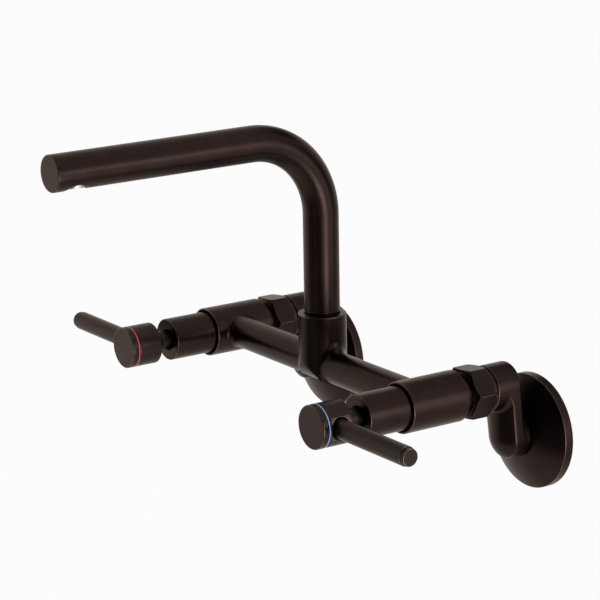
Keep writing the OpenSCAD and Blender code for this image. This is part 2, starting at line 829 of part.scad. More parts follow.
module cartridge_stem(side) {
    color(brass)
        at_valve(side)
            difference() {
                union() {
                    splined_bar(0, stem_end_y, handle_neck_y + cut);
                    turned([
                        [0, journal_y], [journal_r, journal_y], [journal_r, stem_shoulder_y],
                        [stem_r, stem_shoulder_y], [stem_r, stem_ring_y - stem_groove_w / 2],
                        [stem_groove_r, stem_ring_y - stem_groove_w / 2],
                        [stem_groove_r, stem_ring_y + stem_groove_w / 2],
                        [stem_r, stem_ring_y + stem_groove_w / 2], [stem_r, dog_y], [dog_r, dog_y],
                        [dog_r, moving_disc_y], [0, moving_disc_y]
                    ]);
                }
                bar(screw_r + running_gap, stem_end_y - cut, pocket_y + screw_len + stem_end_gap);
            }
}

module stem_o_ring(side) {
    color(black_rubber)
        at_valve(side)
            rubber_ring(stem_ring_mid_r, stem_ring_d, stem_ring_y);
}

// Flat wedge that opens by port_angle, centred on the given direction
module wedge(direction) {
    reach = 2 * port_r;
    polygon([
        [0, 0],
        [reach * cos(direction - port_angle / 2), reach * sin(direction - port_angle / 2)],
        [reach * cos(direction + port_angle / 2), reach * sin(direction + port_angle / 2)]
    ]);
}

// Ceramic disc with two opposite openings
module ported_disc(y0, direction) {
    translate([0, y0, 0])
        rotate([-90, 0, 0])
            difference() {
                cylinder(h = disc_t, r = cage_bore_r - running_gap);
                translate([0, 0, -cut])
                    for (turn = [0, 180])
                        linear_extrude(height = disc_t + 2 * cut)
                            difference() {
                                intersection() {
                                    circle(r = port_r);
                                    wedge(direction + turn);
                                }
                                circle(r = port_hub_r);
                            }
            }
}

module moving_disc(side) {
    color(ceramic)
        at_valve(side)
            ported_disc(moving_disc_y, 90);
}

module fixed_disc(side) {
    color(ceramic)
        at_valve(side)
            ported_disc(fixed_disc_y, 0);
}

module seat_seal(side) {
    color(black_rubber)
        at_valve(side)
            sleeve(cage_bore_r - braze_gap, seal_bore_r, seal_y, seat_y);
}

module bonnet(side) {
    color(bronze)
        at_valve(side)
            turned([
                [bonnet_hole_r, bonnet_y], [bonnet_r - bonnet_bevel, bonnet_y],
                [bonnet_r, bonnet_y + bonnet_bevel], [bonnet_r, recess_y], [bonnet_skirt_r, recess_y],
                [bonnet_skirt_r, bonnet_ring_y], [upper_r + running_gap, bonnet_ring_y],
                [upper_r + running_gap, cartridge_upper_y], [bonnet_nose_r, cartridge_upper_y],
                [bonnet_nose_r, bonnet_y + bonnet_front], [bonnet_hole_r, bonnet_y + bonnet_front]
            ]);
}

module handle_hub(side) {
    color(bronze)
        at_valve(side)
            difference() {
                turned([
                    [0, hub_front_y], [drum_r, hub_front_y], [drum_r, drum_back_y - drum_bevel],
                    [drum_r - drum_bevel, drum_back_y], [neck_r, drum_back_y + drum_cone],
                    [neck_r, handle_neck_y], [0, handle_neck_y]
                ]);
                bar(spigot_r + running_gap, hub_front_y - cut, hub_front_y + spigot_len + running_gap);
                bar(pocket_r, hub_front_y, pocket_y);
                bar(screw_r + running_gap, pocket_y - cut, handle_neck_y);
                splined_bar(running_gap, stem_bore_y, handle_neck_y + cut);
                side_bar(side, lever_seat_r, lever_seat, 2 * drum_r, lever_y);
                side_bar(side, tenon_r + running_gap, tenon_end - running_gap, 2 * drum_r, lever_y);
            }
}

module index_ring(side) {
    band_y = (cap_back_y + hub_front_y - ring_band) / 2;
    color(side == hot ? "#a3171b" : "#1d4f9e")
        at_valve(side)
            turned([
                [ring_bore_r, cap_back_y], [ring_bore_r + ring_web, cap_back_y],
                [ring_bore_r + ring_web, band_y], [drum_r + ring_proud, band_y],
                [drum_r + ring_proud, band_y + ring_band], [ring_bore_r + ring_web, band_y + ring_band],
                [ring_bore_r + ring_web, hub_front_y], [ring_bore_r, hub_front_y]
            ]);
}

module handle_cap(side) {
    color(bronze)
        at_valve(side)
            turned([
                [0, drum_front_y], [drum_r - drum_bevel, drum_front_y],
                [drum_r, drum_front_y + drum_bevel], [drum_r, cap_back_y],
                [ring_bore_r - braze_gap, cap_back_y], [ring_bore_r - braze_gap, hub_front_y],
                [spigot_r, hub_front_y], [spigot_r, hub_front_y + spigot_len],
                [0, hub_front_y + spigot_len]
            ]);
}

module handle_screw(side) {
    color(steel)
        at_valve(side)
            difference() {
                union() {
                    bar(screw_head_r, pocket_y - screw_head_h, pocket_y);
                    bar(screw_r, pocket_y - screw_head_h, pocket_y + screw_len);
                }
                hex_bar(screw_head_r / 2, pocket_y - screw_head_h - cut, pocket_y - screw_head_h / 2);
            }
}

// Turned piece on the lever's axis, from [radius, distance from the valve's axis] points
module lever_turned(side, points) {
    at_valve(side)
        translate([0, lever_y, 0])
            rotate([0, side * 90, 0])
                rotate_extrude()
                    polygon(points);
}

module lever(side) {
    bore = tip_spigot_r + running_gap;
    bore_end = rod_end - tip_spigot - running_gap;
    color(bronze)
        lever_turned(side, [
            [0, tenon_end], [tenon_r, tenon_end], [tenon_r, lever_seat], [lever_r, lever_seat],
            [lever_r, rod_end - lever_bevel], [lever_r - lever_bevel, rod_end], [bore, rod_end],
            [bore, bore_end], [0, bore_end]
        ]);
}

module lever_tip(side) {
    cap_start = rod_end + tip_groove;
    color(bronze)
        lever_turned(side, [
            [0, rod_end - tip_spigot], [tip_spigot_r, rod_end - tip_spigot], [tip_spigot_r, rod_end],
            [tip_groove_r, rod_end], [tip_groove_r, cap_start], [tip_r, cap_start],
            [tip_r, lever_reach - tip_bevel], [tip_r - tip_bevel, lever_reach], [0, lever_reach]
        ]);
}

module union_nut(side) {
    corner_r = hex_r(nut_af) + cut;
    color(dark_bronze)
        at_valve(side)
            difference() {
                intersection() {
                    hex_bar(hex_r(nut_af), nut_front_y, nut_back_y);
                    turned([
                        [0, nut_front_y], [nut_front_r, nut_front_y],
                        [corner_r, nut_front_y + nut_front_cone], [corner_r, nut_back_y - nut_chamfer],
                        [nut_face_r, nut_back_y], [0, nut_back_y]
                    ]);
                }
                bar(union_thread_r + running_gap, nut_front_y - cut, lip_y);
                bar(tail_r + lip_gap, nut_front_y, nut_back_y + cut);
            }
}

module union_washer(side) {
    color(black_rubber)
        at_valve(side)
            sleeve(shoulder_r, washer_bore_r, washer_y, washer_y + washer_t);
}

module union_tail(side) {
    color(brass)
        at_valve(side)
            turned([
                [tail_bore_r, shoulder_y], [shoulder_r, shoulder_y],
                [shoulder_r, shoulder_y + shoulder_t], [tail_r, shoulder_y + shoulder_t],
                [tail_r, tail_end_y], [tail_bore_r, tail_end_y]
            ]);
}

// Outline of the arm seen along y: two circles and their common tangents
module arm_outline() {
    slant = (boss_r - low_r) / arm_offset;
    spread = sqrt(1 - slant * slant);
    circle(r = low_r);
    translate([0, arm_offset])
        circle(r = boss_r);
    polygon([
        [low_r * spread, -low_r * slant], [boss_r * spread, arm_offset - boss_r * slant],
        [-boss_r * spread, arm_offset - boss_r * slant], [-low_r * spread, -low_r * slant]
    ]);
}

// The arm's outline as a plate between two y stations
module arm_plate(y0, y1) {
    translate([0, y1, 0])
        rotate([90, 0, 0])
            linear_extrude(height = y1 - y0)
                arm_outline();
}

// Long rounded crown: a bar along the arm with one round end
module crown(r, y, end_z) {
    translate([0, y, 0])
        cylinder(h = arm_offset, r = r);
    translate([0, y, end_z])
        sphere(r = r);
}

module swing_arm(side) {
    color(bronze)
        in_arm(side)
            difference() {
                union() {
                    arm_plate(arm_front_y, arm_rear_y);
                    intersection() {
                        arm_plate(front_apex_y - cut, arm_rear_y);
                        crown(front_crown_r, front_apex_y + front_crown_r, 0);
                    }
                    intersection() {
                        arm_plate(arm_front_y, rear_apex_y + cut);
                        crown(rear_crown_r, rear_apex_y - rear_crown_r, arm_offset);
                    }
                    translate([0, 0, arm_offset])
                        turned([
                            [0, collar_y], [collar_r, collar_y], [collar_r, boss_y],
                            [boss_r - boss_bevel, boss_y], [boss_r, boss_y + boss_bevel],
                            [boss_r, arm_rear_y], [0, arm_rear_y]
                        ]);
                    turned([
                        [0, arm_front_y], [low_r, arm_front_y], [arm_neck_r, arm_rear_y],
                        [arm_neck_r, -groove_front], [arm_neck_r - groove_depth, -groove_front],
                        [arm_neck_r - groove_depth, groove_w - groove_front],
                        [arm_neck_r, groove_w - groove_front], [arm_neck_r, -rubber_y - rubber_groove_w / 2],
                        [rubber_groove_r, -rubber_y - rubber_groove_w / 2],
                        [rubber_groove_r, rubber_groove_w / 2 - rubber_y],
                        [arm_neck_r, rubber_groove_w / 2 - rubber_y], [arm_neck_r, -neck_back],
                        [0, -neck_back]
                    ]);
                }
                translate([0, 0, arm_offset]) {
                    bar(tail_r + braze_gap, collar_y - cut, tail_end_y + braze_gap);
                    bar(arm_drill_r, collar_y, high_drill_y);
                }
                turned([
                    [0, low_drill_y], [arm_drill_r, low_drill_y], [arm_drill_r, -neck_back - inlet_len],
                    [inlet_r, -neck_back - inlet_len], [inlet_r, -neck_back - inlet_chamfer],
                    [inlet_r + inlet_chamfer, -neck_back], [inlet_r + inlet_chamfer, cut], [0, cut]
                ]);
                translate([0, channel_y, 0])
                    cylinder(h = arm_offset, r = arm_bore_r);
            }
}

module flange_o_ring(side) {
    color(black_rubber)
        in_arm(side)
            rubber_ring(rubber_mid_r, rubber_d, -rubber_y);
}

// Half section of the flange's full dome up to the given radii
module dome_section(rim_r, ball_r) {
    intersection() {
        translate([0, -flange_depth])
            square([rim_r, flange_depth]);
        translate([0, dome_y])
            circle(r = ball_r);
    }
}

module wall_flange(side) {
    color(bronze)
        in_arm(side)
            turned_shape()
                difference() {
                    dome_section(wall_flange_r, dome_r);
                    difference() {
                        dome_section(rim_in_r, dome_r - flange_wall);
                        translate([0, -flange_depth])
                            square([flange_hole_r + flange_wall, collar_depth]);
                    }
                    translate([-cut, -flange_depth - cut])
                        square([flange_hole_r + cut, flange_depth + 2 * cut]);
                }
}

bridge_body();
spout_tube();
spout_shank();
spout_end_cap();
outlet_bush();
aerator_shell();
aerator_insert();
aerator_washer();
spout_glide_ring();
spout_o_rings();
spout_set_screw();
cartridge_body(hot);  // hot_cartridge_body
cartridge_body(cold);  // cold_cartridge_body
cartridge_stem(hot);  // hot_cartridge_stem
cartridge_stem(cold);  // cold_cartridge_stem
moving_disc(hot);  // hot_moving_disc
moving_disc(cold);  // cold_moving_disc
fixed_disc(hot);  // hot_fixed_disc
fixed_disc(cold);  // cold_fixed_disc
seat_seal(hot);  // hot_seat_seal
seat_seal(cold);  // cold_seat_seal
stem_o_ring(hot);  // hot_stem_o_ring
stem_o_ring(cold);  // cold_stem_o_ring
bonnet(hot);  // hot_bonnet
bonnet(cold);  // cold_bonnet
handle_hub(hot);  // hot_handle_hub
handle_hub(cold);  // cold_handle_hub
index_ring(hot);  // hot_index_ring
index_ring(cold);  // cold_index_ring
handle_cap(hot);  // hot_handle_cap
handle_cap(cold);  // cold_handle_cap
handle_screw(hot);  // hot_handle_screw
handle_screw(cold);  // cold_handle_screw
lever(hot);  // hot_lever
lever(cold);  // cold_lever
lever_tip(hot);  // hot_lever_tip
lever_tip(cold);  // cold_lever_tip
union_nut(hot);  // hot_union_nut
union_nut(cold);  // cold_union_nut
union_washer(hot);  // hot_union_washer
union_washer(cold);  // cold_union_washer
union_tail(hot);  // hot_union_tail
union_tail(cold);  // cold_union_tail
swing_arm(hot);  // hot_swing_arm
swing_arm(cold);  // cold_swing_arm
wall_flange(hot);  // hot_wall_flange
wall_flange(cold);  // cold_wall_flange
flange_o_ring(hot);  // hot_flange_o_ring
flange_o_ring(cold);  // cold_flange_o_ring
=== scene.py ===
"""Looks of a wall-mounted kitchen faucet with two lever handles, a bridge body and a swivel spout.

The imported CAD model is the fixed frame. Every visible casting, turned part and tube is worked out here
again as a smooth surface on a grid, with its edges rounded as polishing leaves them, and the small
inner parts of the CAD model are kept and given their own finishes.

All sizes in the classes are millimetres in the frame of the CAD model: x to the right, y into the
wall, z up, and the wall is the plane y = 0.
"""

import logging
import math
from dataclasses import dataclass, field
from enum import Enum

import bmesh
import bpy
import numpy as np
from mathutils import Matrix, Vector


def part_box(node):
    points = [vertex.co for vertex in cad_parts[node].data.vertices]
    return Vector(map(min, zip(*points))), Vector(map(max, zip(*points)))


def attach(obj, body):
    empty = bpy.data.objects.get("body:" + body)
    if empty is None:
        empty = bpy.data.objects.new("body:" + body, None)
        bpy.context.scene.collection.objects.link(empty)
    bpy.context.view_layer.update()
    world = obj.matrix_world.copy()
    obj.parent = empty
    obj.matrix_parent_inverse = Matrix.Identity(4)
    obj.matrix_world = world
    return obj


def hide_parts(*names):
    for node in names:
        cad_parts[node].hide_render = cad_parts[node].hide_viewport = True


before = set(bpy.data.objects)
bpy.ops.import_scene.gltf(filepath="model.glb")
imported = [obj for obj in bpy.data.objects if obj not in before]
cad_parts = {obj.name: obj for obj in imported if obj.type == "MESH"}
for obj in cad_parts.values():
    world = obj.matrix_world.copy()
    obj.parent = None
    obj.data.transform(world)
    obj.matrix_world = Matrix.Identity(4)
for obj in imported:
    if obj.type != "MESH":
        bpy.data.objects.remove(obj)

LOG = logging.getLogger("faucet")
MM = 0.001
ROUND_STEPS = 4
RING_STEPS = 144
HOLE_STEPS = 96
# Roundings in millimetres of an inner edge: deburred, cut to seat another part, and cut very fine.
BREAK = 0.2
CRISP = 0.1
FINE = 0.05


class Side(Enum):
    """The two valves, by the sign of x on their side."""

    HOT = -1
    COLD = 1

    @property
    def word(self) -> str:
        """Word that starts the names of this side's nodes and bodies."""
        return self.name.lower()


class Slot(Enum):
    """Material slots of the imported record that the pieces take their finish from."""

    BODY = "body_bronze"
    SPOUT = "spout_bronze"
    HANDLE = "handle_bronze"
    BONNET = "bonnet_bronze"
    NUT = "nut_bronze"
    ARM = "arm_bronze"
    FLANGE = "flange_bronze"
    HOT_RING = "hot_ring"
    COLD_RING = "cold_ring"
    BRASS = "brass"
    STEEL = "steel"
    CERAMIC = "ceramic"
    RUBBER = "rubber"
    PLASTIC = "plastic"
    INSERT = "insert_plastic"


@dataclass(frozen=True)
class Corner:
    """A corner of a turned profile.

    Args:
        r: Distance from the axis.
        t: Place along the axis.
        round: Radius of the rounding at this corner.
    """

    r: float
    t: float
    round: float = 0.0


@dataclass(frozen=True)
class Layout:
    """Places shared by several sub-assemblies."""

    valve_x: float = 102.0
    valve_z: float = 30.9575
    inlet_x: float = 103.6224
    axis_y: float = -80.0
    arm_tilt: float = math.radians(3.0)
    arm_offset: float = 31.0


LAYOUT = Layout()


def rounded_profile(corners: list[Corner], closed: bool) -> np.ndarray:
    """Turns a profile with sharp corners into one whose corners are small arcs.

    Each arc touches both neighbouring edges. Its centre lies on the corner's bisector, and a support
    point follows on each edge just beyond the arc, so that the flat faces stay flat when shaded.

    Args:
        corners: The profile's corners in order.
        closed: Whether the last corner is joined to the first one.

    Returns:
        An array of (r, t) points.
    """
    pts = np.array([(c.r, c.t) for c in corners], float)
    count = len(pts)
    out: list[np.ndarray] = []
    for i, corner in enumerate(corners):
        here = pts[i]
        if not closed and i in (0, count - 1):
            out.append(here[None, :])
            continue
        before, after = pts[i - 1], pts[(i + 1) % count]
        a, b = before - here, after - here
        la, lb = np.linalg.norm(a), np.linalg.norm(b)
        a, b = a / la, b / lb
        half = math.acos(float(np.clip(a @ b, -1.0, 1.0))) / 2
        if corner.round <= 0 or half > math.radians(88):
            out.append(here[None, :])
            continue
        reach = min(corner.round / math.tan(half), 0.45 * la, 0.45 * lb)
        radius = reach * math.tan(half)
        middle = (a + b) / np.linalg.norm(a + b)
        centre = here + middle * (radius / math.sin(half))
        start, end = here + a * reach - centre, here + b * reach - centre
        turn = math.pi - 2 * half
        s = np.linspace(0.0, 1.0, ROUND_STEPS + 1)[:, None]
        arc = (np.sin((1 - s) * turn) * start + np.sin(s * turn) * end) / math.sin(turn)
        pad = min(0.25, 0.04 * min(la, lb) + 0.02)
        out.append(np.vstack([here + a * (reach + pad), centre + arc, here + b * (reach + pad)]))
    return np.vstack(out)


def linked(name: str, data: bpy.types.ID) -> bpy.types.Object:
    """Makes an object from its data and links it to the scene."""
    obj = bpy.data.objects.new(name, data)
    bpy.context.scene.collection.objects.link(obj)
    return obj


def discard(obj: bpy.types.Object) -> None:
    """Removes an object with its mesh."""
    mesh = obj.data
    bpy.data.objects.remove(obj)
    bpy.data.meshes.remove(mesh)


def coordinates(mesh: bpy.types.Mesh) -> np.ndarray:
    """Places of a mesh's vertices, in metres."""
    co = np.empty((len(mesh.vertices), 3), np.float32)
    mesh.vertices.foreach_get("co", co.ravel())
    return co


def ring_angles(steps: int = RING_STEPS) -> np.ndarray:
    """Evenly spaced angles round a full turn, without the last one."""
    return np.arange(steps) * (2 * math.pi / steps)


def turned_y(profile: np.ndarray, x: float, z: float, steps: int = RING_STEPS) -> np.ndarray:
    """Surface of revolution about a line along y: x + r cos a, y = t, z + r sin a.

    Args:
        profile: (r, t) points.
        x: Place of the axis.
        z: Height of the axis.
        steps: Points round the axis.

    Returns:
        A grid of points, profile by angle.
    """
    a = ring_angles(steps)[None, :]
    r, t = profile[:, :1], profile[:, 1:]
    return np.stack([x + r * np.cos(a), t + 0 * a, z + r * np.sin(a)], axis=-1)


def turned_x(profile: np.ndarray, sign: int, x: float, y: float, z: float) -> np.ndarray:
    """Surface of revolution about a line along x, starting from x and going to the sign's side."""
    a = ring_angles()[None, :]
    r, t = profile[:, :1], profile[:, 1:]
    return np.stack([x + sign * t + 0 * a, y + r * np.cos(a), z + r * np.sin(a)], axis=-1)


class Shells:
    """Closed surfaces worked out on grids and gathered into one mesh."""

    def __init__(self) -> None:
        """Starts with no surface."""
        self.bm = bmesh.new()

    def add(self, grid: np.ndarray, wrap_rows: bool = False) -> "Shells":
        """Adds one closed surface.

        The grid's second direction always closes on itself. A row whose points coincide becomes a pole.

        Args:
            grid: Points in millimetres, rows by columns by three.
            wrap_rows: Whether the last row is joined to the first one, as on a ring.

        Returns:
            This object, so that calls can follow each other.
        """
        rows, cols = grid.shape[:2]
        index = np.arange(rows * cols).reshape(rows, cols)
        if wrap_rows:
            index = np.vstack([index, index[:1]])
        right = np.roll(index, -1, axis=1)
        quads = np.stack([index[:-1], right[:-1], right[1:], index[1:]], axis=-1).reshape(-1, 4)
        part = bpy.data.meshes.new("grid")
        part.vertices.add(rows * cols)
        part.vertices.foreach_set("co", (grid.reshape(-1) * MM).astype(np.float32))
        part.loops.add(quads.size)
        part.loops.foreach_set("vertex_index", quads.reshape(-1).astype(np.int32))
        part.polygons.add(len(quads))
        part.polygons.foreach_set("loop_start", np.arange(0, quads.size, 4, dtype=np.int32))
        part.update(calc_edges=True)
        shell = bmesh.new()
        shell.from_mesh(part)
        bmesh.ops.remove_doubles(shell, verts=shell.verts, dist=2e-7)
        bmesh.ops.recalc_face_normals(shell, faces=shell.faces)
        shell.to_mesh(part)
        shell.free()
        self.bm.from_mesh(part)
        bpy.data.meshes.remove(part)
        return self

    def object(self, name: str) -> bpy.types.Object:
        """Makes the object, at the origin, from what was gathered.

        Args:
            name: Name of the object and its mesh.

        Returns:
            The new object, linked to the scene and shaded smooth up to 35 degrees.
        """
        mesh = bpy.data.meshes.new(name)
        self.bm.to_mesh(mesh)
        self.bm.free()
        obj = linked(name, mesh)
        smooth(obj)
        return obj


def smooth(obj: bpy.types.Object, degrees: float = 35.0) -> None:
    """Shades a mesh smooth, except across edges sharper than the given angle."""
    obj.data.shade_smooth()
    obj.data.set_sharp_from_angle(angle=math.radians(degrees))


def mark_bends(mesh: bpy.types.Mesh) -> None:
    """Writes on each vertex how tightly the surface bends outwards there, for the wear on edges.

    Across each mesh edge the bend is the angle between its two faces' normals over the distance of their
    centres square to the edge, in radians per millimetre, and counts only where the faces fall away from
    each other. A vertex takes the tightest bend of its edges.

    Args:
        mesh: The mesh, which gets a float attribute named bend.
    """
    normal = np.empty((len(mesh.polygons), 3), np.float32)
    centre = np.empty_like(normal)
    co = coordinates(mesh)
    ends = np.empty((len(mesh.edges), 2), np.int32)
    total = np.empty(len(mesh.polygons), np.int32)
    of_edge = np.empty(len(mesh.loops), np.int32)
    mesh.polygons.foreach_get("normal", normal.ravel())
    mesh.polygons.foreach_get("center", centre.ravel())
    mesh.edges.foreach_get("vertices", ends.ravel())
    mesh.polygons.foreach_get("loop_total", total)
    mesh.loops.foreach_get("edge_index", of_edge)
    face = np.repeat(np.arange(len(total)), total)[np.argsort(of_edge, kind="stable")]
    uses = np.bincount(of_edge, minlength=len(ends))
    first = np.cumsum(uses) - uses
    paired = np.flatnonzero(uses == 2)
    a, b = face[first[paired]], face[first[paired] + 1]
    along = co[ends[paired, 1]] - co[ends[paired, 0]]
    along /= np.maximum(np.linalg.norm(along, axis=1, keepdims=True), 1e-9)
    step = centre[b] - centre[a]
    apart = np.linalg.norm(step - (step * along).sum(1, keepdims=True) * along, axis=1)
    turn = np.arccos(np.clip((normal[a] * normal[b]).sum(1), -1, 1))
    bend = np.where((step * normal[a]).sum(1) < 0, turn * MM / np.maximum(apart, 1e-6), 0)
    value = np.zeros(len(co), np.float32)
    np.maximum.at(value, ends[paired].ravel(), np.repeat(bend, 2).astype(np.float32))
    mesh.attributes.new("bend", "FLOAT", "POINT").data.foreach_set("value", value)


def bake_modifiers(obj: bpy.types.Object) -> None:
    """Replaces an object's mesh by the result of its modifiers."""
    graph = bpy.context.evaluated_depsgraph_get()
    mesh = bpy.data.meshes.new_from_object(obj.evaluated_get(graph))
    old = obj.data
    obj.modifiers.clear()
    obj.data = mesh
    mesh.name = obj.name
    bpy.data.meshes.remove(old)


def drill(obj: bpy.types.Object, grid: np.ndarray, wrap_rows: bool = False) -> None:
    """Cuts a closed surface out of an object, as a drill or a turning tool would.

    Args:
        obj: The object to cut.
        grid: The grid of the cutting surface.
        wrap_rows: Whether that surface is a ring.
    """
    tool = Shells().add(grid, wrap_rows).object("drill")
    cut = obj.modifiers.new("cut", "BOOLEAN")
    cut.operation = "DIFFERENCE"
    cut.solver = "EXACT"
    cut.object = tool
    bake_modifiers(obj)
    discard(tool)
    smooth(obj)


@dataclass(frozen=True)
class Nodes:
    """A node tree and short ways to add to it."""

    tree: bpy.types.NodeTree

    def new(self, kind: str, **values: object) -> bpy.types.Node:
        """Adds a node and sets its inputs.

        Args:
            kind: The node's type.
            **values: Values or sockets, by the name of the input with _ for a space.

        Returns:
            The node.
        """
        node = self.tree.nodes.new(kind)
        for key, value in values.items():
            self.feed(node, key.replace("_", " "), value)
        return node

    def feed(self, node: bpy.types.Node, key: str | int, value: object) -> None:
        """Sets one input, by a link if the value is a socket."""
        if isinstance(value, bpy.types.NodeSocket):
            self.tree.links.new(value, node.inputs[key])
        else:
            node.inputs[key].default_value = value

    def ramp(self, source: bpy.types.NodeSocket, stops: list[tuple[float, tuple]]) -> bpy.types.Node:
        """Adds a colour ramp.

        Args:
            source: What drives it.
            stops: (place, colour) pairs.

        Returns:
            The node.
        """
        node = self.new("ShaderNodeValToRGB", Fac=source)
        items = node.color_ramp.elements
        while len(items) < len(stops):
            items.new(0.5)
        for item, (place, colour) in zip(items, stops):
            item.position = place
            item.color = (*colour, 1.0) if len(colour) == 3 else colour
        return node

    def blend(self, fac: object, low: object, high: object) -> bpy.types.NodeSocket:
        """Mixes two colours and returns the result's socket."""
        node = self.tree.nodes.new("ShaderNodeMix")
        node.data_type = "RGBA"
        self.feed(node, 0, fac)
        self.feed(node, 6, low)
        self.feed(node, 7, high)
        return node.outputs[2]

    def between(self, source: object, low: float, high: float) -> bpy.types.NodeSocket:
        """Maps 0..1 to low..high and returns the result's socket."""
        node = self.new("ShaderNodeMapRange", Value=source, To_Min=low, To_Max=high)
        return node.outputs[0]

    def calc(self, operation: str, a: object, b: object = 0.0) -> bpy.types.NodeSocket:
        """Does one sum with one or two values and returns the result's socket."""
        node = self.tree.nodes.new("ShaderNodeMath")
        node.operation = operation
        self.feed(node, 0, a)
        self.feed(node, 1, b)
        return node.outputs[0]


def new_material(name: str) -> tuple[bpy.types.Material, Nodes, bpy.types.Node]:
    """Makes a material and returns it with its nodes and its shader."""
    mat = bpy.data.materials.new(name)
    mat.use_nodes = True
    return mat, Nodes(mat.node_tree), mat.node_tree.nodes["Principled BSDF"]


def srgb(r: float, g: float, b: float) -> tuple[float, float, float]:
    """Linear colour of an sRGB one given from 0 to 255."""
    c = np.array([r, g, b], float) / 255
    lin = np.where(c <= 0.04045, c / 12.92, ((c + 0.055) / 1.055) ** 2.4)
    return tuple(float(v) for v in lin)


@dataclass(frozen=True)
class BronzeFinish:
    """Oil-rubbed bronze: a dark satin coat, clouded by hand rubbing, thinner and warmer on the edges.

    Args:
        name: The material's name.
        base: The coat's colour.
        cloud: The lighter colour of its clouds.
        worn: The warm colour that shows on edges.
        rough: Lowest and highest roughness.
        wear: Share of the worn colour on the sharpest edges.
        worn_from: Bends, in radians per millimetre, where wear begins and where it is full.
        edge_tint: Colour of the reflection at grazing angles.
        gap_shade: Near-black colour painted into narrow gaps as shade, where ambient occlusion is low.
    """

    name: str
    base: tuple[float, float, float]
    cloud: tuple[float, float, float]
    worn: tuple[float, float, float]
    rough: tuple[float, float]
    wear: float = 0.7
    worn_from: tuple[float, float] = (0.7, 1.4)
    edge_tint: tuple[float, float, float] = (0.85, 0.80, 0.76)
    gap_shade: tuple[float, float, float] = (0.0024, 0.0018, 0.0016)

    def material(self) -> bpy.types.Material:
        """Builds the material on Object coordinates."""
        mat, n, shader = new_material(self.name)
        place = n.new("ShaderNodeTexCoord").outputs["Object"]
        clouds = n.new("ShaderNodeTexNoise", Vector=place, Scale=70.0, Detail=4.0, Roughness=0.55)
        grain = n.new("ShaderNodeTexNoise", Vector=place, Scale=1500.0, Detail=3.0, Roughness=0.6)
        rubbed = n.new("ShaderNodeTexNoise", Vector=place, Scale=320.0, Detail=5.0, Roughness=0.65)
        soft = n.ramp(clouds.outputs["Fac"], [(0.34, (0, 0, 0)), (0.70, (1, 1, 1))])
        colour = n.blend(soft.outputs["Color"], (*self.base, 1), (*self.cloud, 1))
        bend = n.new("ShaderNodeAttribute")
        bend.attribute_name = "bend"
        low, high = self.worn_from
        edge = n.new("ShaderNodeMapRange", Value=bend.outputs["Fac"], From_Min=low, From_Max=high)
        n.feed(edge, "To Max", self.wear)
        broken = n.calc("MULTIPLY", edge.outputs[0], n.between(rubbed.outputs["Fac"], 0.25, 1.5))
        colour = n.blend(broken, colour, (*self.worn, 1))
        # Painted shade: the coat's colour turns near black where ambient occlusion finds close surfaces, in
        # narrow gaps and recesses.
        gap = n.new("ShaderNodeAmbientOcclusion", Distance=0.005)
        gap.samples = 8
        gap_shade_mask = n.ramp(gap.outputs["AO"], [(0.42, (1, 1, 1)), (0.78, (0, 0, 0))])
        colour = n.blend(gap_shade_mask.outputs["Color"], colour, (*self.gap_shade, 1))
        n.feed(shader, "Base Color", colour)
        n.feed(shader, "Metallic", 1.0)
        n.feed(shader, "Roughness", n.between(rubbed.outputs["Fac"], *self.rough))
        n.feed(shader, "Specular Tint", (*self.edge_tint, 1))
        bump = n.new("ShaderNodeBump", Height=grain.outputs["Fac"], Strength=0.12, Distance=0.00004)
        n.feed(shader, "Normal", bump.outputs["Normal"])
        return mat


@dataclass(frozen=True)
class PlainFinish:
    """A finish for a smaller part, with mottling, uneven gloss and a fine surface.

    Args:
        name: The material's name.
        low: Darker colour.
        high: Lighter colour.
        metallic: 1 for bare metal, otherwise 0.
        rough: Lowest and highest roughness.
        scale: Mottles per metre.
        bump: Height of the fine surface in metres.
        lathe: Whether fine turning marks ring the part.
    """

    name: str
    low: tuple[float, float, float]
    high: tuple[float, float, float]
    metallic: float = 0.0
    rough: tuple[float, float] = (0.4, 0.6)
    scale: float = 250.0
    bump: float = 0.00003
    lathe: bool = False

    def material(self) -> bpy.types.Material:
        """Builds the material on Object coordinates."""
        mat, n, shader = new_material(self.name)
        place = n.new("ShaderNodeTexCoord").outputs["Object"]
        mottle = n.new("ShaderNodeTexNoise", Vector=place, Scale=self.scale, Detail=4.0)
        ridge = n.new("ShaderNodeNewGeometry").outputs["Pointiness"]
        edge = n.ramp(ridge, [(0.50, (0, 0, 0)), (0.62, (0.5, 0.5, 0.5))])
        colour = n.blend(mottle.outputs["Fac"], (*self.low, 1), (*self.high, 1))
        colour = n.blend(edge.outputs["Color"], colour, (*self.high, 1))
        fine = n.new("ShaderNodeTexNoise", Vector=place, Scale=2200.0, Detail=2.0)
        height = fine.outputs["Fac"]
        if self.lathe:
            marks = n.new("ShaderNodeTexWave", Vector=place, Scale=900.0, Distortion=0.6)
            marks.bands_direction = "Y"
            height = n.blend(0.6, fine.outputs["Fac"], marks.outputs["Fac"])
        n.feed(shader, "Base Color", colour)
        n.feed(shader, "Metallic", self.metallic)
        n.feed(shader, "Roughness", n.between(mottle.outputs["Fac"], *self.rough))
        bump = n.new("ShaderNodeBump", Height=height, Strength=0.3, Distance=self.bump)
        n.feed(shader, "Normal", bump.outputs["Normal"])
        return mat


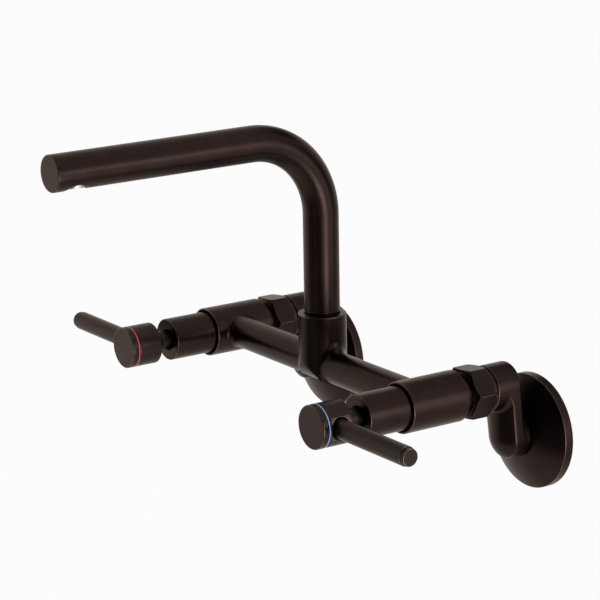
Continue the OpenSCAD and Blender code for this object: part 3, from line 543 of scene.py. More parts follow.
@dataclass(frozen=True)
class RingFinish:
    """An enamelled index ring: a light bead between deep-coloured borders, which are partly painted shade.

    Args:
        name: The material's name.
        deep: The ring's own deep colour, also painted on the borders as the shade of the bead's flanks.
        light: Colour of the bead.
        middle: y of the bead's middle in metres.
        half: Half the bead's width in metres.
    """

    name: str
    deep: tuple[float, float, float]
    light: tuple[float, float, float]
    middle: float = -0.15515
    half: float = 0.00028

    def material(self) -> bpy.types.Material:
        """Builds the material on Object coordinates."""
        mat, n, shader = new_material(self.name)
        place = n.new("ShaderNodeTexCoord").outputs["Object"]
        along = n.new("ShaderNodeSeparateXYZ", Vector=place).outputs["Y"]
        far = n.calc("ABSOLUTE", n.calc("SUBTRACT", along, self.middle))
        # Painted shade: away from the bead's middle the colour turns to the deep one, standing in for the
        # shade on the bead's flanks and in the grooves beside it.
        shaded_border = n.new("ShaderNodeMapRange", Value=far, From_Min=self.half, From_Max=1.5 * self.half)
        mottle = n.new("ShaderNodeTexNoise", Vector=place, Scale=400.0, Detail=3.0)
        bead = n.blend(n.between(mottle.outputs["Fac"], 0.0, 0.25), (*self.light, 1), (*self.deep, 1))
        n.feed(shader, "Base Color", n.blend(shaded_border.outputs[0], bead, (*self.deep, 1)))
        n.feed(shader, "Roughness", n.between(mottle.outputs["Fac"], 0.22, 0.34))
        bump = n.new("ShaderNodeBump", Height=mottle.outputs["Fac"], Strength=0.2, Distance=0.00002)
        n.feed(shader, "Normal", bump.outputs["Normal"])
        return mat


@dataclass
class Finishes:
    """All the finishes, made once and handed out by material slot."""

    made: dict[Slot, bpy.types.Material] = field(default_factory=dict)

    def build(self) -> "Finishes":
        """Makes every material.

        Returns:
            This object.
        """
        base, cloud, worn = srgb(42, 33, 30), srgb(48, 37, 34), srgb(104, 88, 80)
        for slot in (Slot.BODY, Slot.SPOUT, Slot.BONNET, Slot.ARM, Slot.FLANGE):
            self.made[slot] = BronzeFinish(slot.value, base, cloud, worn, (0.28, 0.37)).material()
        self.made[Slot.HANDLE] = BronzeFinish(
            Slot.HANDLE.value, srgb(48, 39, 36), srgb(53, 43, 40), worn, (0.30, 0.40)
        ).material()
        self.made[Slot.NUT] = BronzeFinish(
            Slot.NUT.value, srgb(40, 32, 30), srgb(45, 36, 34), worn, (0.28, 0.37), wear=0.3
        ).material()
        plain = [
            RingFinish(Slot.HOT_RING.value, srgb(98, 20, 22), srgb(200, 78, 66)),
            RingFinish(Slot.COLD_RING.value, srgb(22, 42, 100), srgb(132, 164, 204)),
            PlainFinish(
                Slot.BRASS.value, srgb(150, 112, 58), srgb(204, 168, 104), 1.0, (0.22, 0.4), lathe=True
            ),
            PlainFinish(
                Slot.STEEL.value, srgb(140, 140, 142), srgb(190, 190, 192), 1.0, (0.2, 0.38), lathe=True
            ),
            PlainFinish(Slot.CERAMIC.value, srgb(214, 208, 196), srgb(238, 234, 224), 0.0, (0.12, 0.24)),
            PlainFinish(Slot.RUBBER.value, srgb(20, 19, 19), srgb(36, 35, 34), 0.0, (0.6, 0.8)),
            PlainFinish(Slot.PLASTIC.value, srgb(26, 22, 21), srgb(38, 33, 31), 0.0, (0.42, 0.6)),
            PlainFinish(Slot.INSERT.value, srgb(196, 196, 190), srgb(222, 222, 216), 0.0, (0.4, 0.55)),
        ]
        for finish in plain:
            self.made[Slot(finish.name)] = finish.material()
        return self

    def dress(self, obj: bpy.types.Object, slot: Slot) -> None:
        """Gives an object the finish of one slot."""
        obj.data.materials.clear()
        obj.data.materials.append(self.made[slot])


def fit(obj: bpy.types.Object, slot: Slot, body: str, nodes: list[str], finishes: Finishes) -> None:
    """Dresses a piece, hangs it on its body and lets it stand for its CAD nodes.

    Args:
        obj: The piece.
        slot: Where its finish comes from.
        body: The CAD body it moves with.
        nodes: The CAD nodes it stands for.
        finishes: The finishes.
    """
    mark_bends(obj.data)
    finishes.dress(obj, slot)
    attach(obj, body)
    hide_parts(*nodes)
    co = coordinates(obj.data)
    boxes = [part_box(n) for n in nodes]
    low = np.min([b[0] for b in boxes], axis=0)
    high = np.max([b[1] for b in boxes], axis=0)
    off = 1000 * max(np.abs(co.min(0) - low).max(), np.abs(co.max(0) - high).max())
    LOG.info("%s on %s: %d faces, box within %.2f mm", obj.name, body, len(obj.data.polygons), off)


@dataclass
class Bridge:
    """The body casting: two valve barrels, the cross tube and the spout's column."""

    tube_r: float = 9.85
    barrel_r: float = 15.15
    barrel_front: float = -99.0
    barrel_back: float = -59.4
    gap_shade_r: float = 13.9
    gap_shade_back: float = -96.0
    seat_r: float = 10.5
    chamber_r: float = 11.8
    chamber_front: float = -87.0
    chamber_back: float = -71.0
    inlet_r: float = 6.5
    neck_groove_r: float = 11.4
    neck_groove: float = 5.7
    neck_r: float = 12.6
    neck_end: float = -46.0
    column_r: float = 14.6
    column_top: float = 62.4575
    column_side: float = 40.0
    glide_r: float = 11.4
    glide_depth: float = 3.0
    bore_r: float = 9.75
    bore_end: float = 42.46
    port_r: float = 6.2
    port_end: float = 32.0
    foot_r: float = 14.95
    foot_bottom: float = 21.2075
    foot_round: float = 0.9
    outer_round: float = 0.6
    back_round: float = 0.45
    column_fillet: float = 6.0
    least_fillet: float = 0.1
    barrel_fillet: float = 3.0
    fade_start: float = -0.85
    fade_span: float = 0.75
    sink: float = 0.35
    root_x: float = 9.0
    end_in: float = 14.2
    screw_z: float = 55.4575
    screw_r: float = 2.05
    screw_hole: tuple[float, float] = (-69.0, -60.0)

    def barrel(self, side: Side) -> np.ndarray:
        """One barrel with its recess, chamber and union neck, turned about the valve's axis."""
        front, back, end = self.barrel_front, self.barrel_back, self.neck_end
        groove_end = back + self.neck_groove
        corners = [
            Corner(self.gap_shade_r, front, 0.3), Corner(self.barrel_r, front, self.outer_round),
            Corner(self.barrel_r, back, self.back_round), Corner(self.neck_groove_r, back, BREAK),
            Corner(self.neck_groove_r, groove_end, BREAK), Corner(self.neck_r, groove_end, 0.3),
            Corner(self.neck_r, end, 0.4), Corner(self.inlet_r, end, 0.3),
            Corner(self.inlet_r, self.chamber_back, BREAK),
            Corner(self.chamber_r, self.chamber_back, BREAK),
            Corner(self.chamber_r, self.chamber_front, BREAK),
            Corner(self.seat_r, self.chamber_front, BREAK), Corner(self.seat_r, self.gap_shade_back, BREAK),
            Corner(self.gap_shade_r, self.gap_shade_back, 0.3),
        ]
        return turned_y(rounded_profile(corners, True), side.value * LAYOUT.valve_x, LAYOUT.valve_z)

    def cross_tube(self, side: Side, steps: int = 160) -> np.ndarray:
        """One half of the cross tube, with the casting fillets at its two ends.

        A ball of the fillet's radius rolls between the tube and the upright column, or the barrel. At each
        angle round the tube its centre is a tube radius plus a ball radius from the tube's axis, and a
        column radius plus a ball radius from the column's axis. The fillet is the ball's arc between its
        two touching points. Under the column it fades away, because the foot runs out there.

        Args:
            side: Which half.
            steps: Points round the tube.

        Returns:
            Rows from inside the column to inside the barrel.
        """
        a = ring_angles(steps)
        c, s = np.cos(a), np.sin(a)
        r = self.tube_r
        t = np.clip((s - self.fade_start) / self.fade_span, 0, 1)
        ball = self.least_fillet + (self.column_fillet - self.least_fillet) * t * t * (3 - 2 * t)
        reach = self.column_r + ball
        y, z = (r + ball) * c, (r + ball) * s
        x = np.sqrt(reach**2 - y**2)
        inner = -np.stack([x / reach, y / reach, 0 * z], -1)
        down = -np.stack([0 * c, c, s], -1)
        rows = self._arc(np.stack([x, y, z], -1), inner, down, ball)
        sunk = rows[0] + self.sink * inner + self._beyond(rows[1], rows[0])
        root = np.zeros_like(sunk)
        root[:, 0] = self.root_x
        wall = self.barrel_r + self.barrel_fillet
        y, z = (r + self.barrel_fillet) * c, (r + self.barrel_fillet) * s
        x = np.sqrt(wall**2 - z**2)
        outer = np.stack([x / wall, 0 * y, -z / wall], -1)
        far = self._arc(
            np.stack([LAYOUT.valve_x - x, y, z], -1), down, outer, np.full(steps, self.barrel_fillet)
        )
        deep = far[-1] + self.sink * outer + self._beyond(far[-2], far[-1])
        end = np.zeros_like(deep)
        end[:, 0] = LAYOUT.valve_x - self.end_in
        k = np.linspace(0, 1, 14)[1:-1, None, None]
        straight = rows[-1] * (1 - k) + far[0] * k
        grid = np.concatenate([root[None], sunk[None], rows, straight, far, deep[None], end[None]])
        grid[..., 0] *= side.value
        grid[..., 1] += LAYOUT.axis_y
        grid[..., 2] += LAYOUT.valve_z
        return grid

    @staticmethod
    def _beyond(before: np.ndarray, last: np.ndarray, length: float = 1.2) -> np.ndarray:
        """Steps that carry a fillet's last row on in its own direction, so that it runs out smoothly.

        Each step is the way from the row before to the last row, scaled to one length.

        Args:
            before: The row before the last one.
            last: The last row.
            length: How far to go.

        Returns:
            The steps.
        """
        way = last - before
        return length * way / np.linalg.norm(way, axis=-1, keepdims=True)

    @staticmethod
    def _arc(centre: np.ndarray, start: np.ndarray, end: np.ndarray, radius: np.ndarray) -> np.ndarray:
        """Arc of a ball from one direction to another, by spherical interpolation.

        Args:
            centre: The ball's centre at each angle.
            start: Unit direction of the first touching point.
            end: Unit direction of the last one.
            radius: The ball's radius at each angle.

        Returns:
            The arc's rows.
        """
        turn = np.arccos(np.clip((start * end).sum(-1), -1, 1))[None, :, None]
        k = np.linspace(0, 1, 13)[:, None, None]
        way = (np.sin((1 - k) * turn) * start + np.sin(k * turn) * end) / np.sin(turn)
        return centre + radius[:, None] * way

    def column(self, steps: int = RING_STEPS) -> np.ndarray:
        """The upright column, whose foot is rounded about the cross tube's direction.

        Its lowest surface is a cylinder along x: the height is the cylinder's centre minus the root of its
        radius squared less y squared. Side, top, glide seat and bores are turned about the column's axis.

        Args:
            steps: Points round the column.

        Returns:
            The grid, from the pole at the bottom to the pole in the bore.
        """
        a = ring_angles(steps)[None, :]
        middle = self.foot_bottom + self.foot_r
        edge = self.foot_round
        flat_r = self.column_r - edge
        rho = np.concatenate([np.linspace(0, flat_r - 0.2, 9), [flat_r]])[:, None]
        low = middle - np.sqrt(self.foot_r**2 - (rho * np.sin(a)) ** 2)
        turn = np.linspace(0, math.pi / 2, ROUND_STEPS + 1)[1:, None]
        rim = flat_r + edge * np.sin(turn)
        rim_z = middle - np.sqrt(self.foot_r**2 - (rim * np.sin(a)) ** 2) + edge * (1 - np.cos(turn))
        top = self.column_top
        glide_seat = top - self.glide_depth
        corners = [
            Corner(self.column_r, self.column_side), Corner(self.column_r, top, self.outer_round),
            Corner(self.glide_r, top, 0.25), Corner(self.glide_r, glide_seat, BREAK),
            Corner(self.bore_r, glide_seat, BREAK), Corner(self.bore_r, self.bore_end, BREAK),
            Corner(self.port_r, self.bore_end, BREAK), Corner(self.port_r, self.port_end, 0.3),
            Corner(0.0, self.port_end),
        ]
        profile = rounded_profile(corners, False)
        k = np.linspace(0, 1, 6)[1:-1, None]
        side_z = rim_z[-1] * (1 - k) + profile[0, 1] * k
        side_r = 0 * side_z + self.column_r
        radius = np.concatenate([rho + 0 * a, rim + 0 * a, side_r, profile[:, :1] + 0 * a])
        height = np.concatenate([low, rim_z, side_z, profile[:, 1:] + 0 * a])
        return np.stack([radius * np.cos(a), LAYOUT.axis_y + radius * np.sin(a), height], -1)

    def build(self, finishes: Finishes) -> None:
        """Makes the casting."""
        post = Shells().add(self.column()).object("column")
        inner, outer = self.screw_hole
        r = self.screw_r
        hole = np.array([(0, inner), (r, inner), (r, outer), (0, outer)], float)
        drill(post, turned_y(hole, 0.0, self.screw_z, 48))
        shells = Shells()
        shells.bm.from_mesh(post.data)
        discard(post)
        for side in Side:
            shells.add(self.barrel(side), True).add(self.cross_tube(side))
        fit(shells.object("bridge_casting"), Slot.BODY, "bridge", ["bridge_body"], finishes)


@dataclass
class Spout:
    """The bent spout tube with its closed end and the outlet in its underside."""

    r: float = 10.75
    inner_r: float = 9.35
    low_z: float = 60.4575
    bend_r: float = 48.4
    run_z: float = 171.2575
    tip_y: float = -261.3
    tip_round: float = 0.7
    tip_wall: float = 4.0
    tip_ring_r: float = 4.0
    groove_r: float = 10.1
    groove_z: float = 64.0
    groove_break: float = 0.25
    foot_rows: tuple[float, ...] = (-0.1, 0.0, 0.3, 0.6, 1.2)
    outlet_y: float = -247.5
    outlet_r: float = 8.3

    def path(self, y_end: float, cross: int = 44) -> tuple[np.ndarray, np.ndarray]:
        """Centreline up the column, round the bend and out to a given y, with its directions.

        Args:
            y_end: Where it ends.
            cross: Steps round the bend.

        Returns:
            Points and unit tangents.
        """
        bend_z, bend_y = self.run_z - self.bend_r, LAYOUT.axis_y - self.bend_r
        z = np.linspace(self.low_z, bend_z, 9)[:-1]
        up = np.stack([0 * z, 0 * z + LAYOUT.axis_y, z], -1)
        a = np.linspace(0, math.pi / 2, cross + 1)
        bend = np.stack([0 * a, bend_y + self.bend_r * np.cos(a), bend_z + self.bend_r * np.sin(a)], -1)
        y = np.linspace(bend_y, y_end, 24)[1:]
        out = np.stack([0 * y, y, 0 * y + self.run_z], -1)
        way = np.concatenate([
            np.tile([0.0, 0.0, 1.0], (len(up), 1)),
            np.stack([0 * a, -np.sin(a), np.cos(a)], -1),
            np.tile([0.0, -1.0, 0.0], (len(out), 1)),
        ])
        return np.concatenate([up, bend, out]), way

    @staticmethod
    def rings(
        points: np.ndarray, way: np.ndarray, radius: np.ndarray, steps: int = RING_STEPS
    ) -> np.ndarray:
        """Circles carried along the path: point + r (cos a X + sin a N), with N square to path and X."""
        a = ring_angles(steps)[None, :, None]
        x = np.array([1.0, 0.0, 0.0])
        normal = np.cross(way, x)[:, None, :]
        r = radius[:, None, None]
        return points[:, None, :] + r * (np.cos(a) * x + np.sin(a) * normal)

    def build(self, finishes: Finishes) -> None:
        """Makes the spout tube and cuts its outlet."""
        edge = self.tip_round
        outer, way = self.path(self.tip_y + edge)
        a = np.linspace(0, math.pi / 2, 9)[1:]
        cap_y = self.tip_y + edge - edge * np.sin(a)
        cap = np.stack([0 * a, cap_y, 0 * a + self.run_z], -1)
        cap_r = self.r - edge + edge * np.cos(a)
        flat = np.array([[0, self.tip_y, self.run_z]] * 3, float)
        foot = np.concatenate([[self.low_z], self.groove_z + np.array(self.foot_rows)])
        outer = np.concatenate([np.stack([0 * foot, 0 * foot + LAYOUT.axis_y, foot], -1), outer[1:]])
        way = np.concatenate([np.tile([0.0, 0.0, 1.0], (len(foot), 1)), way[1:]])
        outer_r = np.full(len(outer), self.r)
        outer_r[:3] = self.groove_r, self.groove_r, self.r - self.groove_break
        front = self.rings(
            np.concatenate([outer, cap, flat]),
            np.concatenate([way, np.tile([0.0, -1.0, 0.0], (len(cap) + 3, 1))]),
            np.concatenate([outer_r, cap_r, [self.r - edge - 0.2, self.tip_ring_r, 0.0]]),
        )
        inner, back = self.path(self.tip_y + self.tip_wall)
        ends = np.array([[0, self.tip_y + self.tip_wall, self.run_z]], float)
        inside = self.rings(
            np.concatenate([inner, ends]),
            np.concatenate([back, [[0.0, -1.0, 0.0]]]),
            np.concatenate([np.full(len(inner), self.inner_r), [0.0]]),
        )
        grid = np.concatenate([front[::-1], inside])
        obj = Shells().add(grid).object("spout_pipe")
        low, high = self.run_z - 2 * self.r, self.run_z
        corners = [Corner(0, low), Corner(self.outlet_r, low), Corner(self.outlet_r, high), Corner(0, high)]
        profile = rounded_profile(corners, False)
        angle = ring_angles(HOLE_STEPS)[None, :]
        radius, height = profile[:, :1], profile[:, 1:]
        across, out = radius * np.cos(angle), self.outlet_y + radius * np.sin(angle)
        drill(obj, np.stack([across, out, height + 0 * angle], -1))
        fit(obj, Slot.SPOUT, "spout", ["spout_tube", "spout_end_cap"], finishes)


@dataclass
class Valve:
    """One valve's outer parts: bonnet, drum handle with its lever, index ring and union nut."""

    side: Side
    bonnet_front: float = -127.6
    bonnet_back: float = -96.0
    bonnet_r: float = 13.0
    bonnet_round: float = 0.55
    bonnet_wall: float = 3.0
    bonnet_hole_r: float = 6.7
    skirt_r: float = 11.6
    skirt_end: float = -105.0
    guide_r: float = 9.05
    guide_end: float = -112.0
    cavity_r: float = 10.5
    drum_front: float = -159.3
    drum_face: float = -154.4
    drum_back: float = -139.2
    drum_r: float = 12.75
    drum_round: float = 0.6
    cone: float = 4.2
    cone_round: float = 1.2
    neck_r: float = 6.0
    neck_end: float = -121.4
    spline_r: float = 4.05
    spline_end: float = -135.2
    screw_r: float = 2.05
    head_seat: float = -138.0
    pocket_r: float = 4.2
    pocket_front: float = -151.55
    spigot_seat_r: float = 7.65
    spigot_r: float = 7.6
    spigot_end: float = -151.6
    cap_back: float = -155.9
    cap_step_r: float = 10.95
    ring_bore_r: float = 11.0
    ring_web_r: float = 11.9
    ring_len: float = 1.5
    band_r: float = 12.8
    band_round: float = 0.15
    band: tuple[float, float] = (0.25, 1.25)
    lever_y: float = -147.3
    lever_r: float = 5.7
    lever_end: float = 72.8
    lever_seat: float = 10.0
    lever_seat_r: float = 6.6
    lever_round: float = 0.45
    hole_end: float = 25.0
    tenon_bore: float = 5.35
    tenon_bore_r: float = 4.05
    tenon_start: float = 5.4
    tenon_r: float = 4.0
    pin_r: float = 2.5
    pin_len: float = 7.0
    pin_gap: float = 0.05
    tip_groove: float = 0.6
    tip_groove_r: float = 4.2
    tip_r: float = 5.1
    tip_end: float = 75.8
    nut_flats: float = 28.7
    nut_turn: float = math.radians(4.5)
    nut_corner: float = 0.5
    nut_blend: float = 0.3
    nut_front: float = -53.6
    nut_back: float = -39.8
    nut_front_r: float = 14.18
    nut_front_slope: float = 2.2
    nut_back_r: float = 13.9
    nut_back_slope: float = 1.1
    nut_face_in: float = 0.4
    nut_bore: float = 12.65
    nut_lip: float = 10.5
    nut_lip_len: float = 2.1

    def place(self) -> tuple[float, float]:
        """x and z of the valve's axis."""
        return self.side.value * LAYOUT.valve_x, LAYOUT.valve_z

    def turn(self, corners: list[Corner], name: str, closed: bool = True) -> bpy.types.Object:
        """A part turned about the valve's axis.

        Args:
            corners: Its profile.
            name: The object's name, after the side's word.
            closed: Whether the profile is a ring clear of the axis.

        Returns:
            The object.
        """
        grid = turned_y(rounded_profile(corners, closed), *self.place())
        return Shells().add(grid, closed).object(f"{self.side.word}_{name}")

    def build_bonnet(self, finishes: Finishes) -> None:
        """Makes the bonnet, open behind and with a round hole for the handle's neck in front."""
        front, back = self.bonnet_front, self.bonnet_back
        inside = front + self.bonnet_wall
        corners = [
            Corner(self.bonnet_hole_r, front, 0.3), Corner(self.bonnet_r, front, self.bonnet_round),
            Corner(self.bonnet_r, back, BREAK), Corner(self.skirt_r, back, BREAK),
            Corner(self.skirt_r, self.skirt_end, 0.3), Corner(self.guide_r, self.skirt_end, CRISP),
            Corner(self.guide_r, self.guide_end, CRISP), Corner(self.cavity_r, self.guide_end, CRISP),
            Corner(self.cavity_r, inside, 0.3), Corner(self.bonnet_hole_r, inside, BREAK),
        ]
        obj = self.turn(corners, "bonnet_shell")
        fit(obj, Slot.BONNET, "bridge", [f"{self.side.word}_bonnet"], finishes)

    def build_drum(self, finishes: Finishes) -> None:
        """Makes the handle's drum with its cone and neck, drilled for the lever."""
        corners = [
            Corner(self.spigot_seat_r, self.drum_face, CRISP), Corner(self.drum_r, self.drum_face, 0.3),
            Corner(self.drum_r, self.drum_back, self.drum_round),
            Corner(self.neck_r, self.drum_back + self.cone, self.cone_round),
            Corner(self.neck_r, self.neck_end, BREAK), Corner(self.spline_r, self.neck_end, CRISP),
            Corner(self.spline_r, self.spline_end, CRISP), Corner(self.screw_r, self.spline_end, CRISP),
            Corner(self.screw_r, self.head_seat, CRISP), Corner(self.pocket_r, self.head_seat, CRISP),
            Corner(self.pocket_r, self.pocket_front, CRISP),
            Corner(self.spigot_seat_r, self.pocket_front, CRISP),
        ]
        obj = self.turn(corners, "handle_drum")
        hole = [
            Corner(0, self.tenon_bore), Corner(self.tenon_bore_r, self.tenon_bore),
            Corner(self.tenon_bore_r, self.lever_seat), Corner(self.lever_seat_r, self.lever_seat),
            Corner(self.lever_seat_r, self.hole_end), Corner(0, self.hole_end),
        ]
        x, z = self.place()
        drill(obj, turned_x(rounded_profile(hole, False), self.side.value, x, self.lever_y, z))
        fit(obj, Slot.HANDLE, f"{self.side.word}_handle", [f"{self.side.word}_handle_hub"], finishes)

    def build_cap(self, finishes: Finishes) -> None:
        """Makes the drum's front cap and the coloured index ring behind it."""
        back = self.cap_back
        corners = [
            Corner(0, self.drum_front), Corner(self.drum_r, self.drum_front, self.drum_round),
            Corner(self.drum_r, back, 0.3), Corner(self.cap_step_r, back, FINE),
            Corner(self.cap_step_r, self.drum_face, FINE), Corner(self.spigot_r, self.drum_face, FINE),
            Corner(self.spigot_r, self.spigot_end, BREAK), Corner(0, self.spigot_end),
        ]
        obj = self.turn(corners, "handle_face", False)
        fit(obj, Slot.HANDLE, f"{self.side.word}_handle", [f"{self.side.word}_handle_cap"], finishes)
        band_front, band_back = (back + y for y in self.band)
        ring_back = back + self.ring_len
        ring = [
            Corner(self.ring_bore_r, back, FINE), Corner(self.ring_web_r, back, FINE),
            Corner(self.ring_web_r, band_front, FINE), Corner(self.band_r, band_front, self.band_round),
            Corner(self.band_r, band_back, self.band_round), Corner(self.ring_web_r, band_back, FINE),
            Corner(self.ring_web_r, ring_back, FINE), Corner(self.ring_bore_r, ring_back, FINE),
        ]
        obj = self.turn(ring, "index_band")
        slot = Slot.HOT_RING if self.side is Side.HOT else Slot.COLD_RING
        fit(obj, slot, f"{self.side.word}_handle", [f"{self.side.word}_index_ring"], finishes)

    def build_lever(self, finishes: Finishes) -> None:
        """Makes the lever rod and its screwed-in tip, turned about the lever's axis."""
        x, z = self.place()
        end = self.lever_end
        pin_start, shoulder = end - self.pin_len, end + self.tip_groove
        bore_r, bore_end = self.pin_r + self.pin_gap, pin_start - self.pin_gap
        rod = [
            Corner(0, self.tenon_start), Corner(self.tenon_r, self.tenon_start, BREAK),
            Corner(self.tenon_r, self.lever_seat, CRISP), Corner(self.lever_r, self.lever_seat, BREAK),
            Corner(self.lever_r, end, self.lever_round), Corner(bore_r, end, CRISP),
            Corner(bore_r, bore_end, CRISP), Corner(0, bore_end),
        ]
        tip = [
            Corner(0, pin_start), Corner(self.pin_r, pin_start, BREAK), Corner(self.pin_r, end, FINE),
            Corner(self.tip_groove_r, end, FINE), Corner(self.tip_groove_r, shoulder, FINE),
            Corner(self.tip_r, shoulder, 0.12), Corner(self.tip_r, self.tip_end, self.drum_round),
            Corner(0, self.tip_end),
        ]
        for profile, name, node in ((rod, "lever_rod", "lever"), (tip, "lever_button", "lever_tip")):
            grid = turned_x(rounded_profile(profile, False), self.side.value, x, self.lever_y, z)
            obj = Shells().add(grid).object(f"{self.side.word}_{name}")
            fit(obj, Slot.HANDLE, f"{self.side.word}_handle", [f"{self.side.word}_{node}"], finishes)

    def build_nut(self, finishes: Finishes, per_flat: int = 36) -> None:
        """Makes the union nut.

        Round the nut the radius is half the width across flats over the cosine of the angle from the
        flat's middle, with each corner rounded. Along the nut it is the smaller of that and of two cones,
        one in front and one behind, blended so that the edges between them are soft. The points round the
        nut crowd towards its corners.

        Args:
            finishes: The finishes.
            per_flat: Points round the nut for each flat.
        """
        x, z = self.place()
        half, soft = self.nut_flats / 2, self.nut_corner
        twelfth = math.radians(30)
        even, crowding = 0.35, 2.2
        k = np.linspace(-1, 1, per_flat, endpoint=False)
        crowded = np.sign(k) * (1 - (1 - np.abs(k)) ** crowding)
        off = twelfth * (even * k + (1 - even) * crowded)
        a = (2 * twelfth * np.arange(6)[:, None] + twelfth + off[None, :]).reshape(-1)
        delta = np.tile(twelfth - np.abs(off), 6)
        flat = half / np.cos(twelfth - delta)
        centre = (half - soft) / math.cos(twelfth)
        limit = math.atan2(soft * math.sin(twelfth), centre + soft * math.cos(twelfth))
        inside = np.clip(soft**2 - (centre * np.sin(delta)) ** 2, 0, None)
        hexagon = np.where(delta < limit, centre * np.cos(delta) + np.sqrt(inside), flat)
        length = self.nut_back - self.nut_front
        t = np.concatenate([
            [0.0, 0.1], np.linspace(0.2, 3.2, 26), np.linspace(4.2, length - 4.0, 5),
            np.linspace(length - 3.2, length - 0.12, 22), [length],
        ])[:, None]
        front = self.nut_front_r + self.nut_front_slope * np.maximum(t, CRISP)
        back = self.nut_back_r + self.nut_back_slope * (length - t)
        outer = softest(softest(hexagon[None, :], front, self.nut_blend), back, self.nut_blend)
        bore, lip, lip_y = self.nut_bore, self.nut_lip, length - self.nut_lip_len
        inner = np.array([
            (bore + CRISP, 0.0), (bore, 0.12),
            (bore, 4.0), (bore, lip_y - CRISP),
            (lip + CRISP, lip_y), (lip, lip_y + CRISP),
            (lip, length - BREAK), (lip + BREAK, length),
            (self.nut_back_r - self.nut_face_in, length),
        ])
        radius = np.concatenate([outer, inner[::-1, :1] + 0 * a[None, :]])
        along = np.concatenate([t + 0 * a[None, :], inner[::-1, 1:] + 0 * a[None, :]]) + self.nut_front
        a = a + self.nut_turn
        grid = np.stack([x + radius * np.cos(a), along, z + radius * np.sin(a)], -1)
        obj = Shells().add(grid, True).object(f"{self.side.word}_nut_shell")
        fit(obj, Slot.NUT, "bridge", [f"{self.side.word}_union_nut"], finishes)

    def build(self, finishes: Finishes) -> None:
        """Makes this valve's parts."""
        self.build_bonnet(finishes)
        self.build_drum(finishes)
        self.build_cap(finishes)
        self.build_lever(finishes)
        self.build_nut(finishes)


def softest(a: np.ndarray, b: np.ndarray, r: float) -> np.ndarray:
    """Smaller of two values, with a short blend of width r where they are about equal."""
    mix = np.clip(0.5 + 0.5 * (b - a) / r, 0, 1)
    return b * (1 - mix) + a * mix - 0.5 * r * mix * (1 - mix)


def softer_of(a: np.ndarray, b: np.ndarray, r: float) -> np.ndarray:
    """Union of two distance fields with a rolling-ball fillet of radius r between them."""
    u, v = np.maximum(r - a, 0), np.maximum(r - b, 0)
    return np.maximum(r, np.minimum(a, b)) - np.hypot(u, v)


def softer_both(a: np.ndarray, b: np.ndarray, r: float) -> np.ndarray:
    """Overlap of two distance fields with the edge between them rounded to radius r."""
    u, v = np.maximum(r + a, 0), np.maximum(r + b, 0)
    return np.minimum(-r, np.maximum(a, b)) + np.hypot(u, v)


